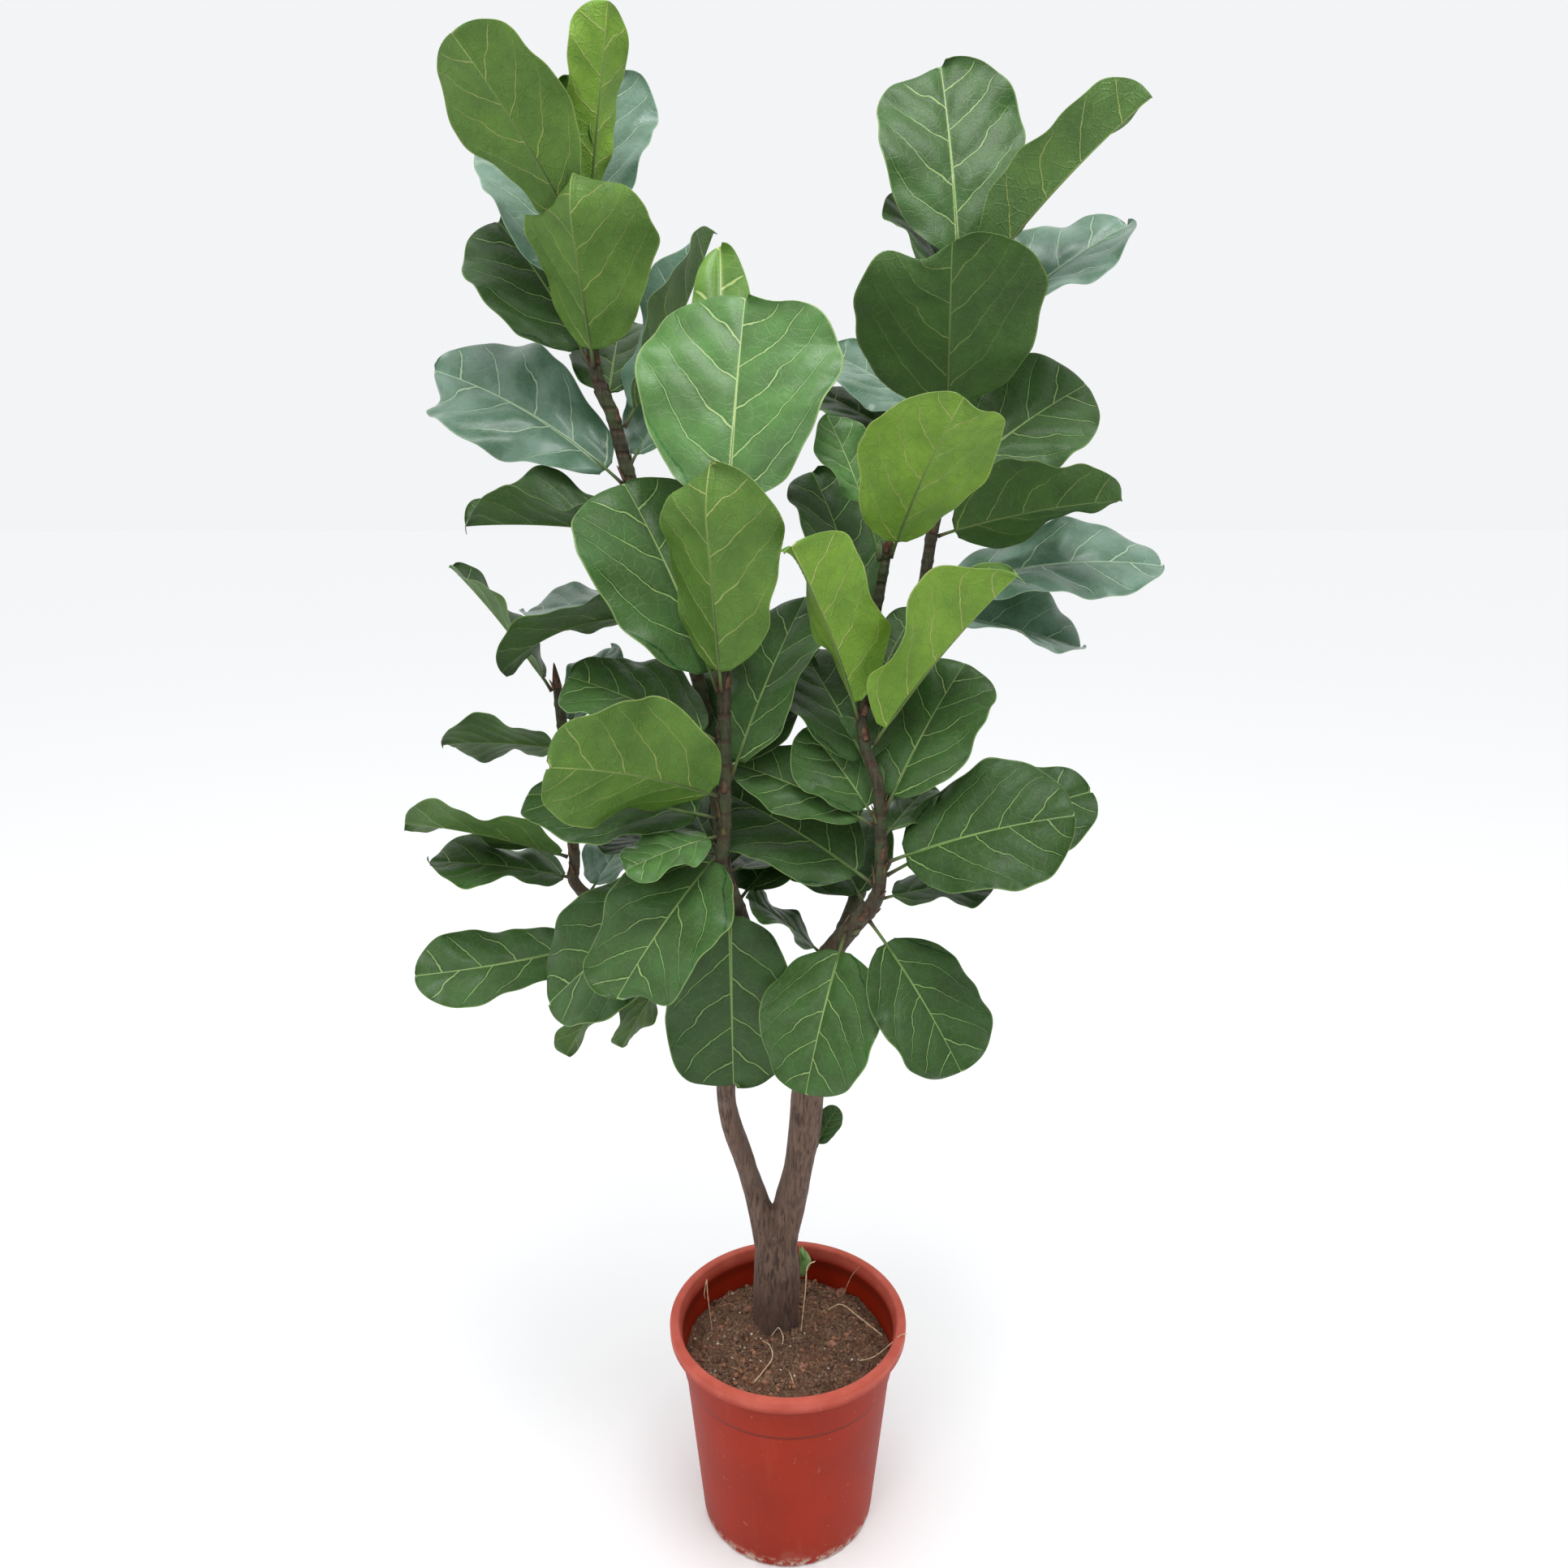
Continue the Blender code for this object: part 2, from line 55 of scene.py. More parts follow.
# Each stem is a list of (right, back, height above the soil, radius).
STEMS = {
    "trunk": [
        (TRUNK_X, TRUNK_Y, -0.045, 0.0335), (TRUNK_X, TRUNK_Y, 0.020, 0.0335),
        (-0.016, 0.035, 0.085, 0.0335), (-0.018, 0.035, 0.120, 0.0295),
        (-0.019, 0.035, 0.150, 0.0245), (-0.020, 0.035, 0.166, 0.010),
    ],
    "right": [
        (-0.012, 0.034, 0.090, 0.0240), (-0.006, 0.034, 0.150, 0.0235), (0.017, 0.028, 0.270, 0.021),
        (0.027, 0.020, 0.375, 0.0225), (0.032, 0.000, 0.500, 0.019),
        (0.045, -0.050, 0.600, 0.015), (0.075, -0.080, 0.660, 0.012),
        (0.101, -0.100, 0.700, 0.010), (0.109, -0.110, 0.730, 0.0080),
        (0.110, -0.110, 0.770, 0.0075), (0.107, -0.110, 0.830, 0.0070),
        (0.103, -0.110, 0.863, 0.0070), (0.086, -0.090, 0.916, 0.0065),
        (0.093, -0.080, 0.990, 0.0065), (0.100, -0.070, 1.040, 0.0060),
        (0.108, -0.060, 1.085, 0.0060), (0.116, -0.060, 1.130, 0.0050),
    ],
    "left": [
        (-0.020, 0.035, 0.095, 0.0240), (-0.034, 0.035, 0.160, 0.0195),
        (-0.047, 0.035, 0.210, 0.0160), (-0.062, 0.035, 0.263, 0.0142),
        (-0.086, 0.020, 0.374, 0.0135), (-0.070, -0.010, 0.510, 0.0120),
        (-0.055, -0.040, 0.630, 0.0115), (-0.081, -0.090, 0.750, 0.0090),
        (-0.077, -0.100, 0.800, 0.0085), (-0.075, -0.100, 0.967, 0.0080),
        (-0.072, -0.100, 1.165, 0.0060),
    ],
    "low_left": [
        (-0.075, 0.000, 0.470, 0.0100), (-0.189, 0.050, 0.600, 0.0090),
        (-0.283, 0.060, 0.664, 0.0080), (-0.288, 0.060, 0.710, 0.0075),
        (-0.291, 0.060, 0.820, 0.0075), (-0.295, 0.050, 0.910, 0.0070),
        (-0.298, 0.050, 0.945, 0.0060),
    ],
    "high_left": [
        (-0.080, -0.090, 0.770, 0.0085), (-0.110, 0.000, 0.950, 0.0090),
        (-0.166, 0.060, 1.093, 0.0090), (-0.205, 0.100, 1.214, 0.0090),
        (-0.221, 0.100, 1.280, 0.0090), (-0.231, 0.100, 1.302, 0.0090),
        (-0.242, 0.100, 1.346, 0.0080), (-0.245, 0.100, 1.450, 0.0070),
        (-0.245, 0.100, 1.520, 0.0050),
    ],
    "high_right": [
        (0.060, -0.070, 0.630, 0.0100), (0.128, 0.040, 0.773, 0.0090),
        (0.162, 0.110, 0.930, 0.0085), (0.178, 0.120, 1.060, 0.0080),
        (0.186, 0.120, 1.125, 0.0080), (0.195, 0.120, 1.210, 0.0080),
        (0.204, 0.120, 1.290, 0.0075), (0.214, 0.120, 1.454, 0.0060),
    ],
}


def leaf(height, bearing, rise, length, width, tone="mid", roll=0, fold=5, curl=15, twist=0,
         tip=0, oval=0.5, stalk=0.10, cup=0, wave=0.009):
    return locals()


# Each shoot's leaves, in the order of the CAD nodes. The names say which node each replaces.
LEAVES = {
    "high_left": [
        leaf(1.51, 310, 75, 0.218, 0.085, "lime", fold=15, curl=0, cup=10, oval=0),
        leaf(1.48, 220, 52, 0.245, 0.165, "fresh", roll=20, oval=0),
        leaf(1.48, 75, 62, 0.240, 0.135, "painted_blue_sheen"),
        leaf(1.335, 264, 64, 0.228, 0.190, "fresh", roll=-16, tip=-80, curl=0, fold=24,
             oval=0.3),
        leaf(1.34, 140, 48, 0.250, 0.180, "dark", roll=-30),
        leaf(1.41, 130, 55, 0.270, 0.170, "painted_blue_sheen", roll=-10),
        leaf(1.295, 90, 36, 0.200, 0.130, "dark"),
        leaf(1.265, 20, 63, 0.265, 0.120, "painted_blue_sheen", fold=45, curl=-10),
        leaf(1.195, 160, 28, 0.315, 0.180, "painted_blue_sheen", roll=-45, curl=25, oval=0,
             wave=0.014),
        leaf(1.135, 185, 3, 0.215, 0.150, "dark", fold=42, roll=-12, wave=0.012),
        leaf(1.22, 60, 40, 0.180, 0.120, "painted_blue_sheen"),
        leaf(1.03, 200, -14, 0.225, 0.140, "dark", roll=25, fold=10, curl=60),
    ],
    "centre": [
        leaf(1.15, 80, 66, 0.290, 0.240, "light", curl=10, oval=0.3),
        leaf(0.965, 254, 78, 0.262, 0.166, "fresh", roll=-8, tip=-50, curl=0,
             fold=24, oval=0.3),
        leaf(0.96, 138, 57, 0.285, 0.220, "mid", roll=-15, oval=0.4),
        leaf(0.84, 221, 18, 0.235, 0.175, "fresh", roll=62, fold=14, twist=35, oval=0.8, stalk=0.06,
             wave=0.012),
        leaf(0.79, 214, -9, 0.125, 0.080, "light", roll=-20),
        leaf(0.735, 183, -38, 0.270, 0.200, "mid", roll=-30),
        leaf(0.765, 224, -42, 0.215, 0.175, "mid", roll=-10, oval=0.8, stalk=0.04,
             wave=0.014),
        leaf(0.81, 165, 3, 0.250, 0.170, "dark", roll=-25),
        leaf(0.905, 164, 20, 0.200, 0.165, "mid", roll=-20),
        leaf(0.762, 160, 2, 0.160, 0.115, "dark", stalk=0.25),
        leaf(0.855, 48, 57, 0.250, 0.130, "mid"),
        leaf(1.12, 93, 60, 0.400, 0.085, "lime", fold=8, tip=-20),
        leaf(0.735, 60, -8, 0.170, 0.140, "dark"),
        leaf(0.71, 270, -98, 0.285, 0.180, "dark"),
    ],
    "low_left": [
        leaf(0.937, 166, 50, 0.205, 0.105, "mid", roll=18, fold=20),
        leaf(0.862, 185, 3, 0.148, 0.140, "dark", roll=34, stalk=0.04),
        leaf(0.71, 190, 16, 0.215, 0.145, "mid", roll=32, fold=10, stalk=0.05, wave=0.010),
        leaf(0.68, 183, 8, 0.190, 0.130, "mid", roll=-8, stalk=0.05, wave=0.010),
        leaf(0.605, 190, -8, 0.290, 0.115, "mid", roll=-38, curl=-12, oval=0, stalk=0.2),
    ],
    "high_right": [
        leaf(1.445, 100, 68, 0.290, 0.190, "mid", roll=-10, oval=0.3),
        leaf(1.27, 262, 62, 0.235, 0.240, "dark", roll=5, curl=-20, fold=10),
        leaf(1.42, 340, 45, 0.290, 0.125, "mid", roll=-30, fold=48),
        leaf(1.36, 15, 35, 0.270, 0.150, "painted_blue_sheen", roll=30, fold=15, wave=0.012),
        leaf(1.42, 125, 50, 0.175, 0.100, "dark"),
        leaf(1.27, 145, 29, 0.200, 0.140, "painted_blue_sheen", roll=-25),
        leaf(1.22, 150, 29, 0.195, 0.120, "mid", roll=-25),
        leaf(1.13, 336, 12, 0.235, 0.155, "dark", roll=-42, fold=20, twist=60, wave=0.011),
        leaf(1.19, 20, 33, 0.245, 0.170, "mid", roll=50),
        leaf(1.055, 0, 7, 0.310, 0.150, "painted_blue_sheen", roll=35, curl=30, oval=0.4),
        leaf(1.03, 5, -13, 0.220, 0.140, "painted_blue_sheen", roll=30, fold=25),
    ],
    "right": [
        leaf(1.03, 122, 56, 0.220, 0.120, "dark"),
        leaf(1.11, 147, 66, 0.180, 0.070, "light", roll=-30, stalk=0.4),
        leaf(1.115, 305, 57, 0.210, 0.180, "lime", roll=-10, oval=0.25),
        leaf(0.93, 224, 62, 0.233, 0.135, "lime", roll=12, fold=42, wave=0.016),
        leaf(0.90, 353, 52, 0.255, 0.160, "lime", roll=-18, fold=38, wave=0.016),
        leaf(0.82, 42, 50, 0.215, 0.150, "mid", roll=15),
        leaf(0.815, 150, 47, 0.135, 0.110, "mid", roll=-40),
        leaf(0.805, 163, 20, 0.185, 0.090, "mid", roll=-40),
        leaf(0.73, 150, 22, 0.235, 0.155, "dark", roll=-30),
        leaf(0.760, 350, 18, 0.225, 0.175, "dark", roll=45, oval=0.55, stalk=0.10),
        leaf(0.742, 17, 17, 0.285, 0.140, "dark", roll=40, stalk=0.2),
        leaf(0.71, 10, 5, 0.140, 0.100, "dark", roll=10),
        leaf(0.662, 240, -60, 0.200, 0.160, "mid", stalk=0.12, oval=0.8),
        leaf(0.680, 319, -48, 0.208, 0.150, "dark", roll=20, oval=0.6, stalk=0.16),
        leaf(0.285, 20, 60, 0.065, 0.038, "mid", roll=40, wave=0.001),
    ],
}
# Leaves that have no CAD node of their own.
EXTRA_LEAVES = [
    ("high_left", leaf(1.505, 250, 82, 0.150, 0.050, "fresh")),
    ("low_left", leaf(0.886, 62, 42, 0.140, 0.080, "painted_blue_sheen")),
    ("high_left", leaf(1.05, 165, -5, 0.190, 0.120, "painted_blue_sheen", roll=-15)),
    ("low_left", leaf(0.658, 58, 31, 0.120, 0.100, "painted_blue_sheen")),
    ("low_left", leaf(0.600, 215, -49, 0.185, 0.090, "mid", roll=65)),
    ("low_left", leaf(0.560, 215, -52, 0.120, 0.090, "mid", roll=65)),
    ("right", leaf(0.943, 58, 40, 0.160, 0.100, "dark")),
    ("right", leaf(0.790, 50, 23, 0.110, 0.070, "mid")),
    ("right", leaf(0.622, 180, 39, 0.120, 0.090, "dark")),
    # Shaded leaves that only show as darkness between the others.
    ("left", leaf(0.860, 70, 38, 0.215, 0.160, "dark")),
    ("right", leaf(0.865, 120, 38, 0.215, 0.160, "dark")),
    ("left", leaf(0.690, 60, 15, 0.215, 0.165, "dark")),
    ("right", leaf(0.695, 110, 20, 0.205, 0.165, "dark", roll=-15)),
    ("left", leaf(0.725, 112, 22, 0.205, 0.165, "dark", roll=-10)),
]
BLADE_THICKNESS = 0.0009
STALK_RADIUS = 0.0021
STALK_GAP = 0.0002
STALK_SIDES = 10
STALK_STEPS = 44
MIDRIB_END = 0.93
USUAL_BLADE = 0.25  # the length at which a blade's relief is drawn at full size
CENTRE_STEPS = 180
TIP_START = 0.72
WAVES_PER_LEAF = 1.6
SIDE_VEINS = 4.8  # how many side veins leave each side of the midrib
VEIN_SLANT = 0.62
VEIN_BEND = 1.45
VEIN_STAGGER = 0.35  # how far the right side's veins leave ahead of the left side's
SCARS_PER_METRE = 34.0
YOUNG_WOOD_HEIGHT = 0.9
STEM_OF_SHOOT = {"centre": "left"}  # shoots that grow on a stem of another name


# ---------------------------------------------------------------- small helpers
def add_object(name, mesh):
    made = bpy.data.objects.new(name, mesh)
    SCENE.collection.objects.link(made)
    return made


def mesh_of(name, points, faces, smooth=True):
    mesh = bpy.data.meshes.new(name)
    mesh.from_pydata([tuple(p) for p in points], [], [tuple(f) for f in faces])
    mesh.update()
    if smooth:
        mesh.polygons.foreach_set("use_smooth", [True] * len(mesh.polygons))
    return mesh


def ring_walls(index):
    """The quads between neighbouring rings of points, closed round each ring."""
    ahead = np.roll(index, -1, 1)
    return np.stack([index[:-1], ahead[:-1], ahead[1:], index[1:]], -1).reshape(-1, 4)


def grid_faces(index):
    """The quads between neighbouring points of a sheet."""
    return np.stack([index[:-1, :-1], index[:-1, 1:], index[1:, 1:], index[1:, :-1]],
                    -1).reshape(-1, 4)


def closed_faces(rings, sides):
    """The faces of a solid that has one point, then rings of points, then one point."""
    index = 1 + np.arange(rings * sides).reshape(rings, sides)
    ahead = np.roll(index, -1, 1)
    last = rings * sides + 1
    faces = [tuple(face) for face in ring_walls(index)]
    faces += [(0, int(b), int(a)) for a, b in zip(index[0], ahead[0])]
    faces += [(last, int(a), int(b)) for a, b in zip(index[-1], ahead[-1])]
    return faces


class Nodes:
    """A short way to write shader nodes."""

    def __init__(self, name):
        self.material = bpy.data.materials.new(name)
        self.material.use_nodes = True
        self.tree = self.material.node_tree
        self.tree.nodes.clear()
        self.output = self.tree.nodes.new("ShaderNodeOutputMaterial")

    def add(self, kind, **settings):
        node = self.tree.nodes.new(kind)
        for key, value in settings.items():
            setattr(node, key, value)
        return node

    def put(self, socket, value):
        if isinstance(value, bpy.types.NodeSocket):
            self.tree.links.new(value, socket)
        elif value is not None:
            socket.default_value = value

    def math(self, operation, a, b=None, c=None):
        node = self.add("ShaderNodeMath", operation=operation)
        for socket, value in zip(node.inputs, (a, b, c)):
            self.put(socket, value)
        return node.outputs[0]

    def times(self, a, b):
        return self.math("MULTIPLY", a, b)

    def plus(self, a, b):
        return self.math("ADD", a, b)

    def minus(self, a, b):
        return self.math("SUBTRACT", a, b)

    def over(self, a, b):
        return self.math("DIVIDE", a, b)

    def size(self, value):
        return self.math("ABSOLUTE", value)

    def line(self, value, slope, start):
        """The value times a slope, plus a start."""
        return self.math("MULTIPLY_ADD", value, slope, start)

    def split(self, vector):
        node = self.add("ShaderNodeSeparateXYZ")
        self.put(node.inputs[0], vector)
        return node.outputs

    def object_place(self):
        return self.add("ShaderNodeTexCoord").outputs["Object"]

    def stretched(self, vector, scale, turn=0.0):
        node = self.add("ShaderNodeMapping")
        self.put(node.inputs["Vector"], vector)
        node.inputs["Scale"].default_value = scale
        node.inputs["Rotation"].default_value = (0, 0, turn)
        return node.outputs[0]

    def ramp(self, value, low, high, from_value=0.0, to_value=1.0):
        """Smoothly maps value from low..high to from_value..to_value."""
        node = self.add("ShaderNodeMapRange", interpolation_type="SMOOTHSTEP")
        for socket, given in zip(node.inputs, (value, low, high, from_value, to_value)):
            self.put(socket, given)
        return node.outputs[0]

    def mix(self, factor, a, b):
        node = self.add("ShaderNodeMix", data_type="RGBA")
        self.put(node.inputs[0], factor)
        self.put(node.inputs[6], a if isinstance(a, bpy.types.NodeSocket) else (*a, 1))
        self.put(node.inputs[7], b if isinstance(b, bpy.types.NodeSocket) else (*b, 1))
        return node.outputs[2]

    def tint(self, colour, mask, strength, other):
        """The colour, with another laid over it where the mask is."""
        return self.mix(self.times(mask, strength), colour, other)

    def noise(self, vector, scale, detail=3, rough=0.5, distortion=0.0):
        node = self.add("ShaderNodeTexNoise")
        self.put(node.inputs["Vector"], vector)
        node.inputs["Scale"].default_value = scale
        node.inputs["Detail"].default_value = detail
        node.inputs["Roughness"].default_value = rough
        node.inputs["Distortion"].default_value = distortion
        return node.outputs["Fac"]

    def cells(self, vector, scale):
        node = self.add("ShaderNodeTexVoronoi", feature="DISTANCE_TO_EDGE")
        self.put(node.inputs["Vector"], vector)
        node.inputs["Scale"].default_value = scale
        return node.outputs["Distance"]

    def bump(self, height, distance, strength=1.0, normal=None):
        node = self.add("ShaderNodeBump")
        node.inputs["Strength"].default_value = strength
        node.inputs["Distance"].default_value = distance
        self.put(node.inputs["Height"], height)
        self.put(node.inputs["Normal"], normal)
        return node.outputs["Normal"]

    def finish(self, colour, roughness, normal=None, **plain):
        shader = self.add("ShaderNodeBsdfPrincipled")
        self.put(shader.inputs["Base Color"],
                 colour if isinstance(colour, bpy.types.NodeSocket) else (*colour, 1))
        self.put(shader.inputs["Roughness"], roughness)
        self.put(shader.inputs["Normal"], normal)
        for key, value in plain.items():
            shader.inputs[key.replace("_", " ")].default_value = value
        self.tree.links.new(shader.outputs[0], self.output.inputs[0])
        return self.material


# ---------------------------------------------------------------- leaf materials
def leaf_parts(nodes):
    """The masks of a leaf's midrib, side veins, nets and margin, read from its two maps."""
    place = nodes.add("ShaderNodeUVMap", uv_map="veins").outputs[0]
    vein_along, vein_across, _ = nodes.split(place)
    shares = nodes.add("ShaderNodeUVMap", uv_map="shares").outputs[0]
    share_along, share_across, _ = nodes.split(shares)
    along = nodes.line(nodes.minus(nodes.noise(place, 4.5, 3), 0.5), 0.13, vein_along)
    sideways = nodes.minus(vein_across, 0.5)
    out = nodes.size(sideways)
    right = nodes.math("GREATER_THAN", sideways, 0.0)
    start = nodes.minus(along, nodes.times(nodes.line(out, VEIN_BEND, VEIN_SLANT), out))
    phase = nodes.line(start, SIDE_VEINS, nodes.times(right, VEIN_STAGGER))
    off = nodes.size(nodes.minus(nodes.math("FRACT", phase), 0.5))
    near = nodes.over(nodes.minus(0.5, off), SIDE_VEINS * 1.4)
    width = nodes.ramp(out, 0.0, 0.36, 0.0056, 0.0026)
    side = nodes.minus(1.0, nodes.ramp(nodes.over(near, width), 0.35, 1.0))
    edge = nodes.size(nodes.line(share_across, 2.0, -1.0))
    side = nodes.times(side, nodes.ramp(edge, 0.80, 0.97, 1.0, 0.1))
    side = nodes.times(side, nodes.ramp(start, -0.06, 0.0, 0.0, 1.0))
    rib_width = nodes.ramp(share_along, 0.0, 1.0, 0.0110, 0.0030)
    rib = nodes.minus(1.0, nodes.ramp(nodes.over(out, rib_width), 0.55, 1.0))
    coarse = nodes.minus(1.0, nodes.ramp(nodes.cells(place, 17.0), 0.0, 0.055))
    fine = nodes.minus(1.0, nodes.ramp(nodes.cells(place, 62.0), 0.0, 0.10))
    # The blade swells between the veins.
    pillow = nodes.times(nodes.ramp(off, 0.5, 0.12, 0.0, 0.35), nodes.ramp(out, 0.0, 0.07))
    pillow = nodes.line(nodes.noise(place, 11.0, 3), 0.65, pillow)
    return dict(map=place, side=side, rib=rib, coarse=coarse, fine=fine, off=off,
                margin=nodes.ramp(edge, 0.972, 0.995), pillow=pillow, along=share_along)


def leaf_upper(name, dark, base, vein, rough, coat):
    nodes = Nodes(name)
    part = leaf_parts(nodes)
    blotch = nodes.noise(part["map"], 5.0, 4, 0.6)
    colour = nodes.mix(nodes.ramp(blotch, 0.3, 0.7), dark, base)
    halo = nodes.ramp(part["off"], 0.5, 0.40)
    line = nodes.math("MAXIMUM", part["side"], part["rib"])
    for mask, strength in ((part["fine"], 0.03), (part["coarse"], 0.07), (halo, 0.12),
                           (line, 0.80), (part["margin"], 0.55)):
        colour = nodes.tint(colour, mask, strength, vein)
    speck = nodes.ramp(nodes.noise(part["map"], 130.0, 2), 0.66, 0.76)
    colour = nodes.tint(colour, speck, 0.12, (0.45, 0.50, 0.40))
    height = nodes.line(part["fine"], -0.30, nodes.times(part["coarse"], -0.55))
    height = nodes.minus(height, nodes.times(part["side"], 1.2))
    height = nodes.plus(height, nodes.times(blotch, 1.0))
    normal = nodes.bump(height, 0.0006, 0.6, nodes.bump(part["pillow"], 0.0032, 0.6))
    roughness = nodes.line(nodes.noise(part["map"], 7.0, 3), 0.24, rough - 0.12)
    return nodes.finish(colour, roughness, normal, Coat_Weight=coat, Coat_Roughness=0.24,
                        Coat_IOR=1.45, Specular_IOR_Level=0.20)


def leaf_under(name, dark, base, vein, rough=0.58):
    nodes = Nodes(name)
    part = leaf_parts(nodes)
    blotch = nodes.noise(part["map"], 4.0, 4, 0.6)
    colour = nodes.mix(nodes.ramp(blotch, 0.3, 0.7), dark, base)
    for mask, strength in (("fine", 0.04), ("coarse", 0.09), ("side", 0.70), ("margin", 0.5)):
        colour = nodes.tint(colour, part[mask], strength, vein)
    rib_colour = nodes.mix(nodes.ramp(part["along"], 0.1, 0.75), (0.070, 0.055, 0.020), vein)
    colour = nodes.tint(colour, part["rib"], 0.9, rib_colour)
    height = nodes.line(part["fine"], 0.5, nodes.times(part["coarse"], 0.9))
    height = nodes.plus(height, nodes.times(part["side"], 2.4))
    hollow = nodes.times(part["pillow"], -1.0)
    normal = nodes.bump(height, 0.0008, 0.8, nodes.bump(hollow, 0.0030, 0.5))
    roughness = nodes.line(nodes.noise(part["map"], 30.0, 3), 0.14, rough - 0.07)
    return nodes.finish(colour, roughness, normal)


def stalk_material():
    """Brown at the foot of the stalk, then green, and pale along the midrib."""
    nodes = Nodes("leaf_stalk")
    shares = nodes.add("ShaderNodeUVMap", uv_map="shares").outputs[0]
    along = nodes.split(shares)[0]
    streak = nodes.noise(shares, 40.0, 3)
    colour = nodes.mix(nodes.ramp(along, 0.0, 0.10), (0.055, 0.035, 0.015), (0.10, 0.17, 0.035))
    colour = nodes.mix(nodes.ramp(along, 0.25, 0.95), colour, (0.20, 0.30, 0.08))
    colour = nodes.tint(colour, nodes.ramp(streak, 0.5, 0.7), 0.35, (0.07, 0.07, 0.025))
    return nodes.finish(colour, 0.55, nodes.bump(streak, 0.0005, 0.5))


VEIN_PALE = (0.50, 0.62, 0.26)
UPPER = {
    "dark": ((0.003, 0.028, 0.005), (0.008, 0.052, 0.008), (0.26, 0.40, 0.12), 0.36, 0.04),
    "mid": ((0.006, 0.046, 0.008), (0.015, 0.088, 0.015), (0.36, 0.50, 0.17), 0.35, 0.10),
    "light": ((0.020, 0.105, 0.018), (0.045, 0.190, 0.032), VEIN_PALE, 0.34, 0.22),
    "fresh": ((0.022, 0.090, 0.018), (0.050, 0.165, 0.030), VEIN_PALE, 0.38, 0.25),
    "lime": ((0.055, 0.170, 0.020), (0.110, 0.280, 0.030), (0.52, 0.62, 0.22), 0.40, 0.25),
    # This tone's pale bluish-grey upper colour, patched by the blotch noise, is a painted sheen: the
    # sky's reflection painted into the leaf's colour. Its underside colours are plain leaf colours.
    "painted_blue_sheen": ((0.030, 0.110, 0.060), (0.120, 0.225, 0.170), (0.40, 0.54, 0.34), 0.30, 0.55),
}
UNDER = {
    "dark": ((0.034, 0.092, 0.010), (0.052, 0.135, 0.014), (0.26, 0.36, 0.09)),
    "mid": ((0.050, 0.125, 0.018), (0.085, 0.185, 0.026), (0.32, 0.42, 0.11)),
    "light": ((0.060, 0.150, 0.022), (0.100, 0.220, 0.032), (0.36, 0.46, 0.14)),
    "fresh": ((0.068, 0.160, 0.014), (0.105, 0.225, 0.019), (0.40, 0.47, 0.13)),
    "lime": ((0.130, 0.270, 0.018), (0.200, 0.370, 0.026), (0.50, 0.56, 0.16)),
    "painted_blue_sheen": ((0.050, 0.115, 0.022), (0.080, 0.165, 0.032), (0.30, 0.40, 0.12)),
}


# ---------------------------------------------------------------- leaf shapes
def place_on_stem(stem, height):
    """The point, radius and direction of a stem's middle line at a height above the soil."""
    points = [(x, y, SOIL_TOP + z, r) for x, y, z, r in STEMS[stem]]
    level = SOIL_TOP + height
    for low, high in zip(points, points[1:]):
        if level <= high[2] or high is points[-1]:
            share = min(max((level - low[2]) / (high[2] - low[2]), 0), 1)
            found = [a + (b - a) * share for a, b in zip(low, high)]
            way = np.array(high[:3]) - np.array(low[:3])
            return np.array(found[:3]), found[3], way / np.linalg.norm(way)


FIDDLE = [(0, 0.08), (0.03, 0.28), (0.10, 0.48), (0.20, 0.62), (0.33, 0.74), (0.45, 0.86),
          (0.58, 0.97), (0.66, 1.0)]
OVAL = [(0, 0.16), (0.03, 0.40), (0.10, 0.67), (0.20, 0.86), (0.33, 0.97), (0.45, 1.0)]
TIP_BLUNTNESS = 2.15


def smooth_profile(points):
    """A profile sampled finely, rounded at its corners, that closes in a blunt arch."""
    shares = np.linspace(0, 1, 401)
    last = points[-1][0]
    rising = np.interp(shares, [p for p, _ in points], [w for _, w in points])
    over = np.clip((shares - last) / (1 - last), 0, 1)
    arch = (1 - over ** TIP_BLUNTNESS) ** (1 / TIP_BLUNTNESS)
    width = np.where(shares < last, rising, arch)
    kernel = np.hanning(41)
    kernel /= kernel.sum()
    padded = np.concatenate([np.full(20, width[0]), width, np.full(20, width[-1])])
    rounded = np.convolve(padded, kernel, "valid")
    blend = np.clip((shares - 0.80) / 0.1, 0, 1)
    return shares, rounded * (1 - blend) + width * blend


PROFILE_SHARES, FIDDLE_WIDTH = smooth_profile(FIDDLE)
_, OVAL_WIDTH = smooth_profile(OVAL)


def half_width(share, oval):
    fiddle = np.interp(share, PROFILE_SHARES, FIDDLE_WIDTH)
    rounded = np.interp(share, PROFILE_SHARES, OVAL_WIDTH)
    return fiddle * (1 - oval) + rounded * oval


def middle_line(start, shape):
    """Points along the leaf, with the directions across it and out of its upper face."""
    steps = np.linspace(0, 1, CENTRE_STEPS + 1)
    middles = (steps[1:] + steps[:-1]) / 2
    bend = np.clip((middles - TIP_START) / (1 - TIP_START), 0, 1)
    rises = np.radians(shape["rise"] + shape["curl"] * (0.5 - middles) - shape["tip"] * bend)
    bearing = radians(shape["bearing"])
    along = np.stack([np.cos(rises) * cos(bearing), np.cos(rises) * sin(bearing),
                      np.sin(rises)], -1)
    line = start + np.vstack([np.zeros(3), np.cumsum(along, 0) * shape["length"] / CENTRE_STEPS])
    along = np.vstack([along[:1], (along[1:] + along[:-1]) / 2, along[-1:]])
    along /= np.linalg.norm(along, axis=1)[:, None]
    level = np.tile([-sin(bearing), cos(bearing), 0.0], (len(along), 1))
    out = np.cross(along, level)
    turn = np.radians(shape["roll"] + shape["twist"] * (steps - 0.5))[:, None]
    across = level * np.cos(turn) + out * np.sin(turn)
    upper = out * np.cos(turn) - level * np.sin(turn)
    return line, across, upper


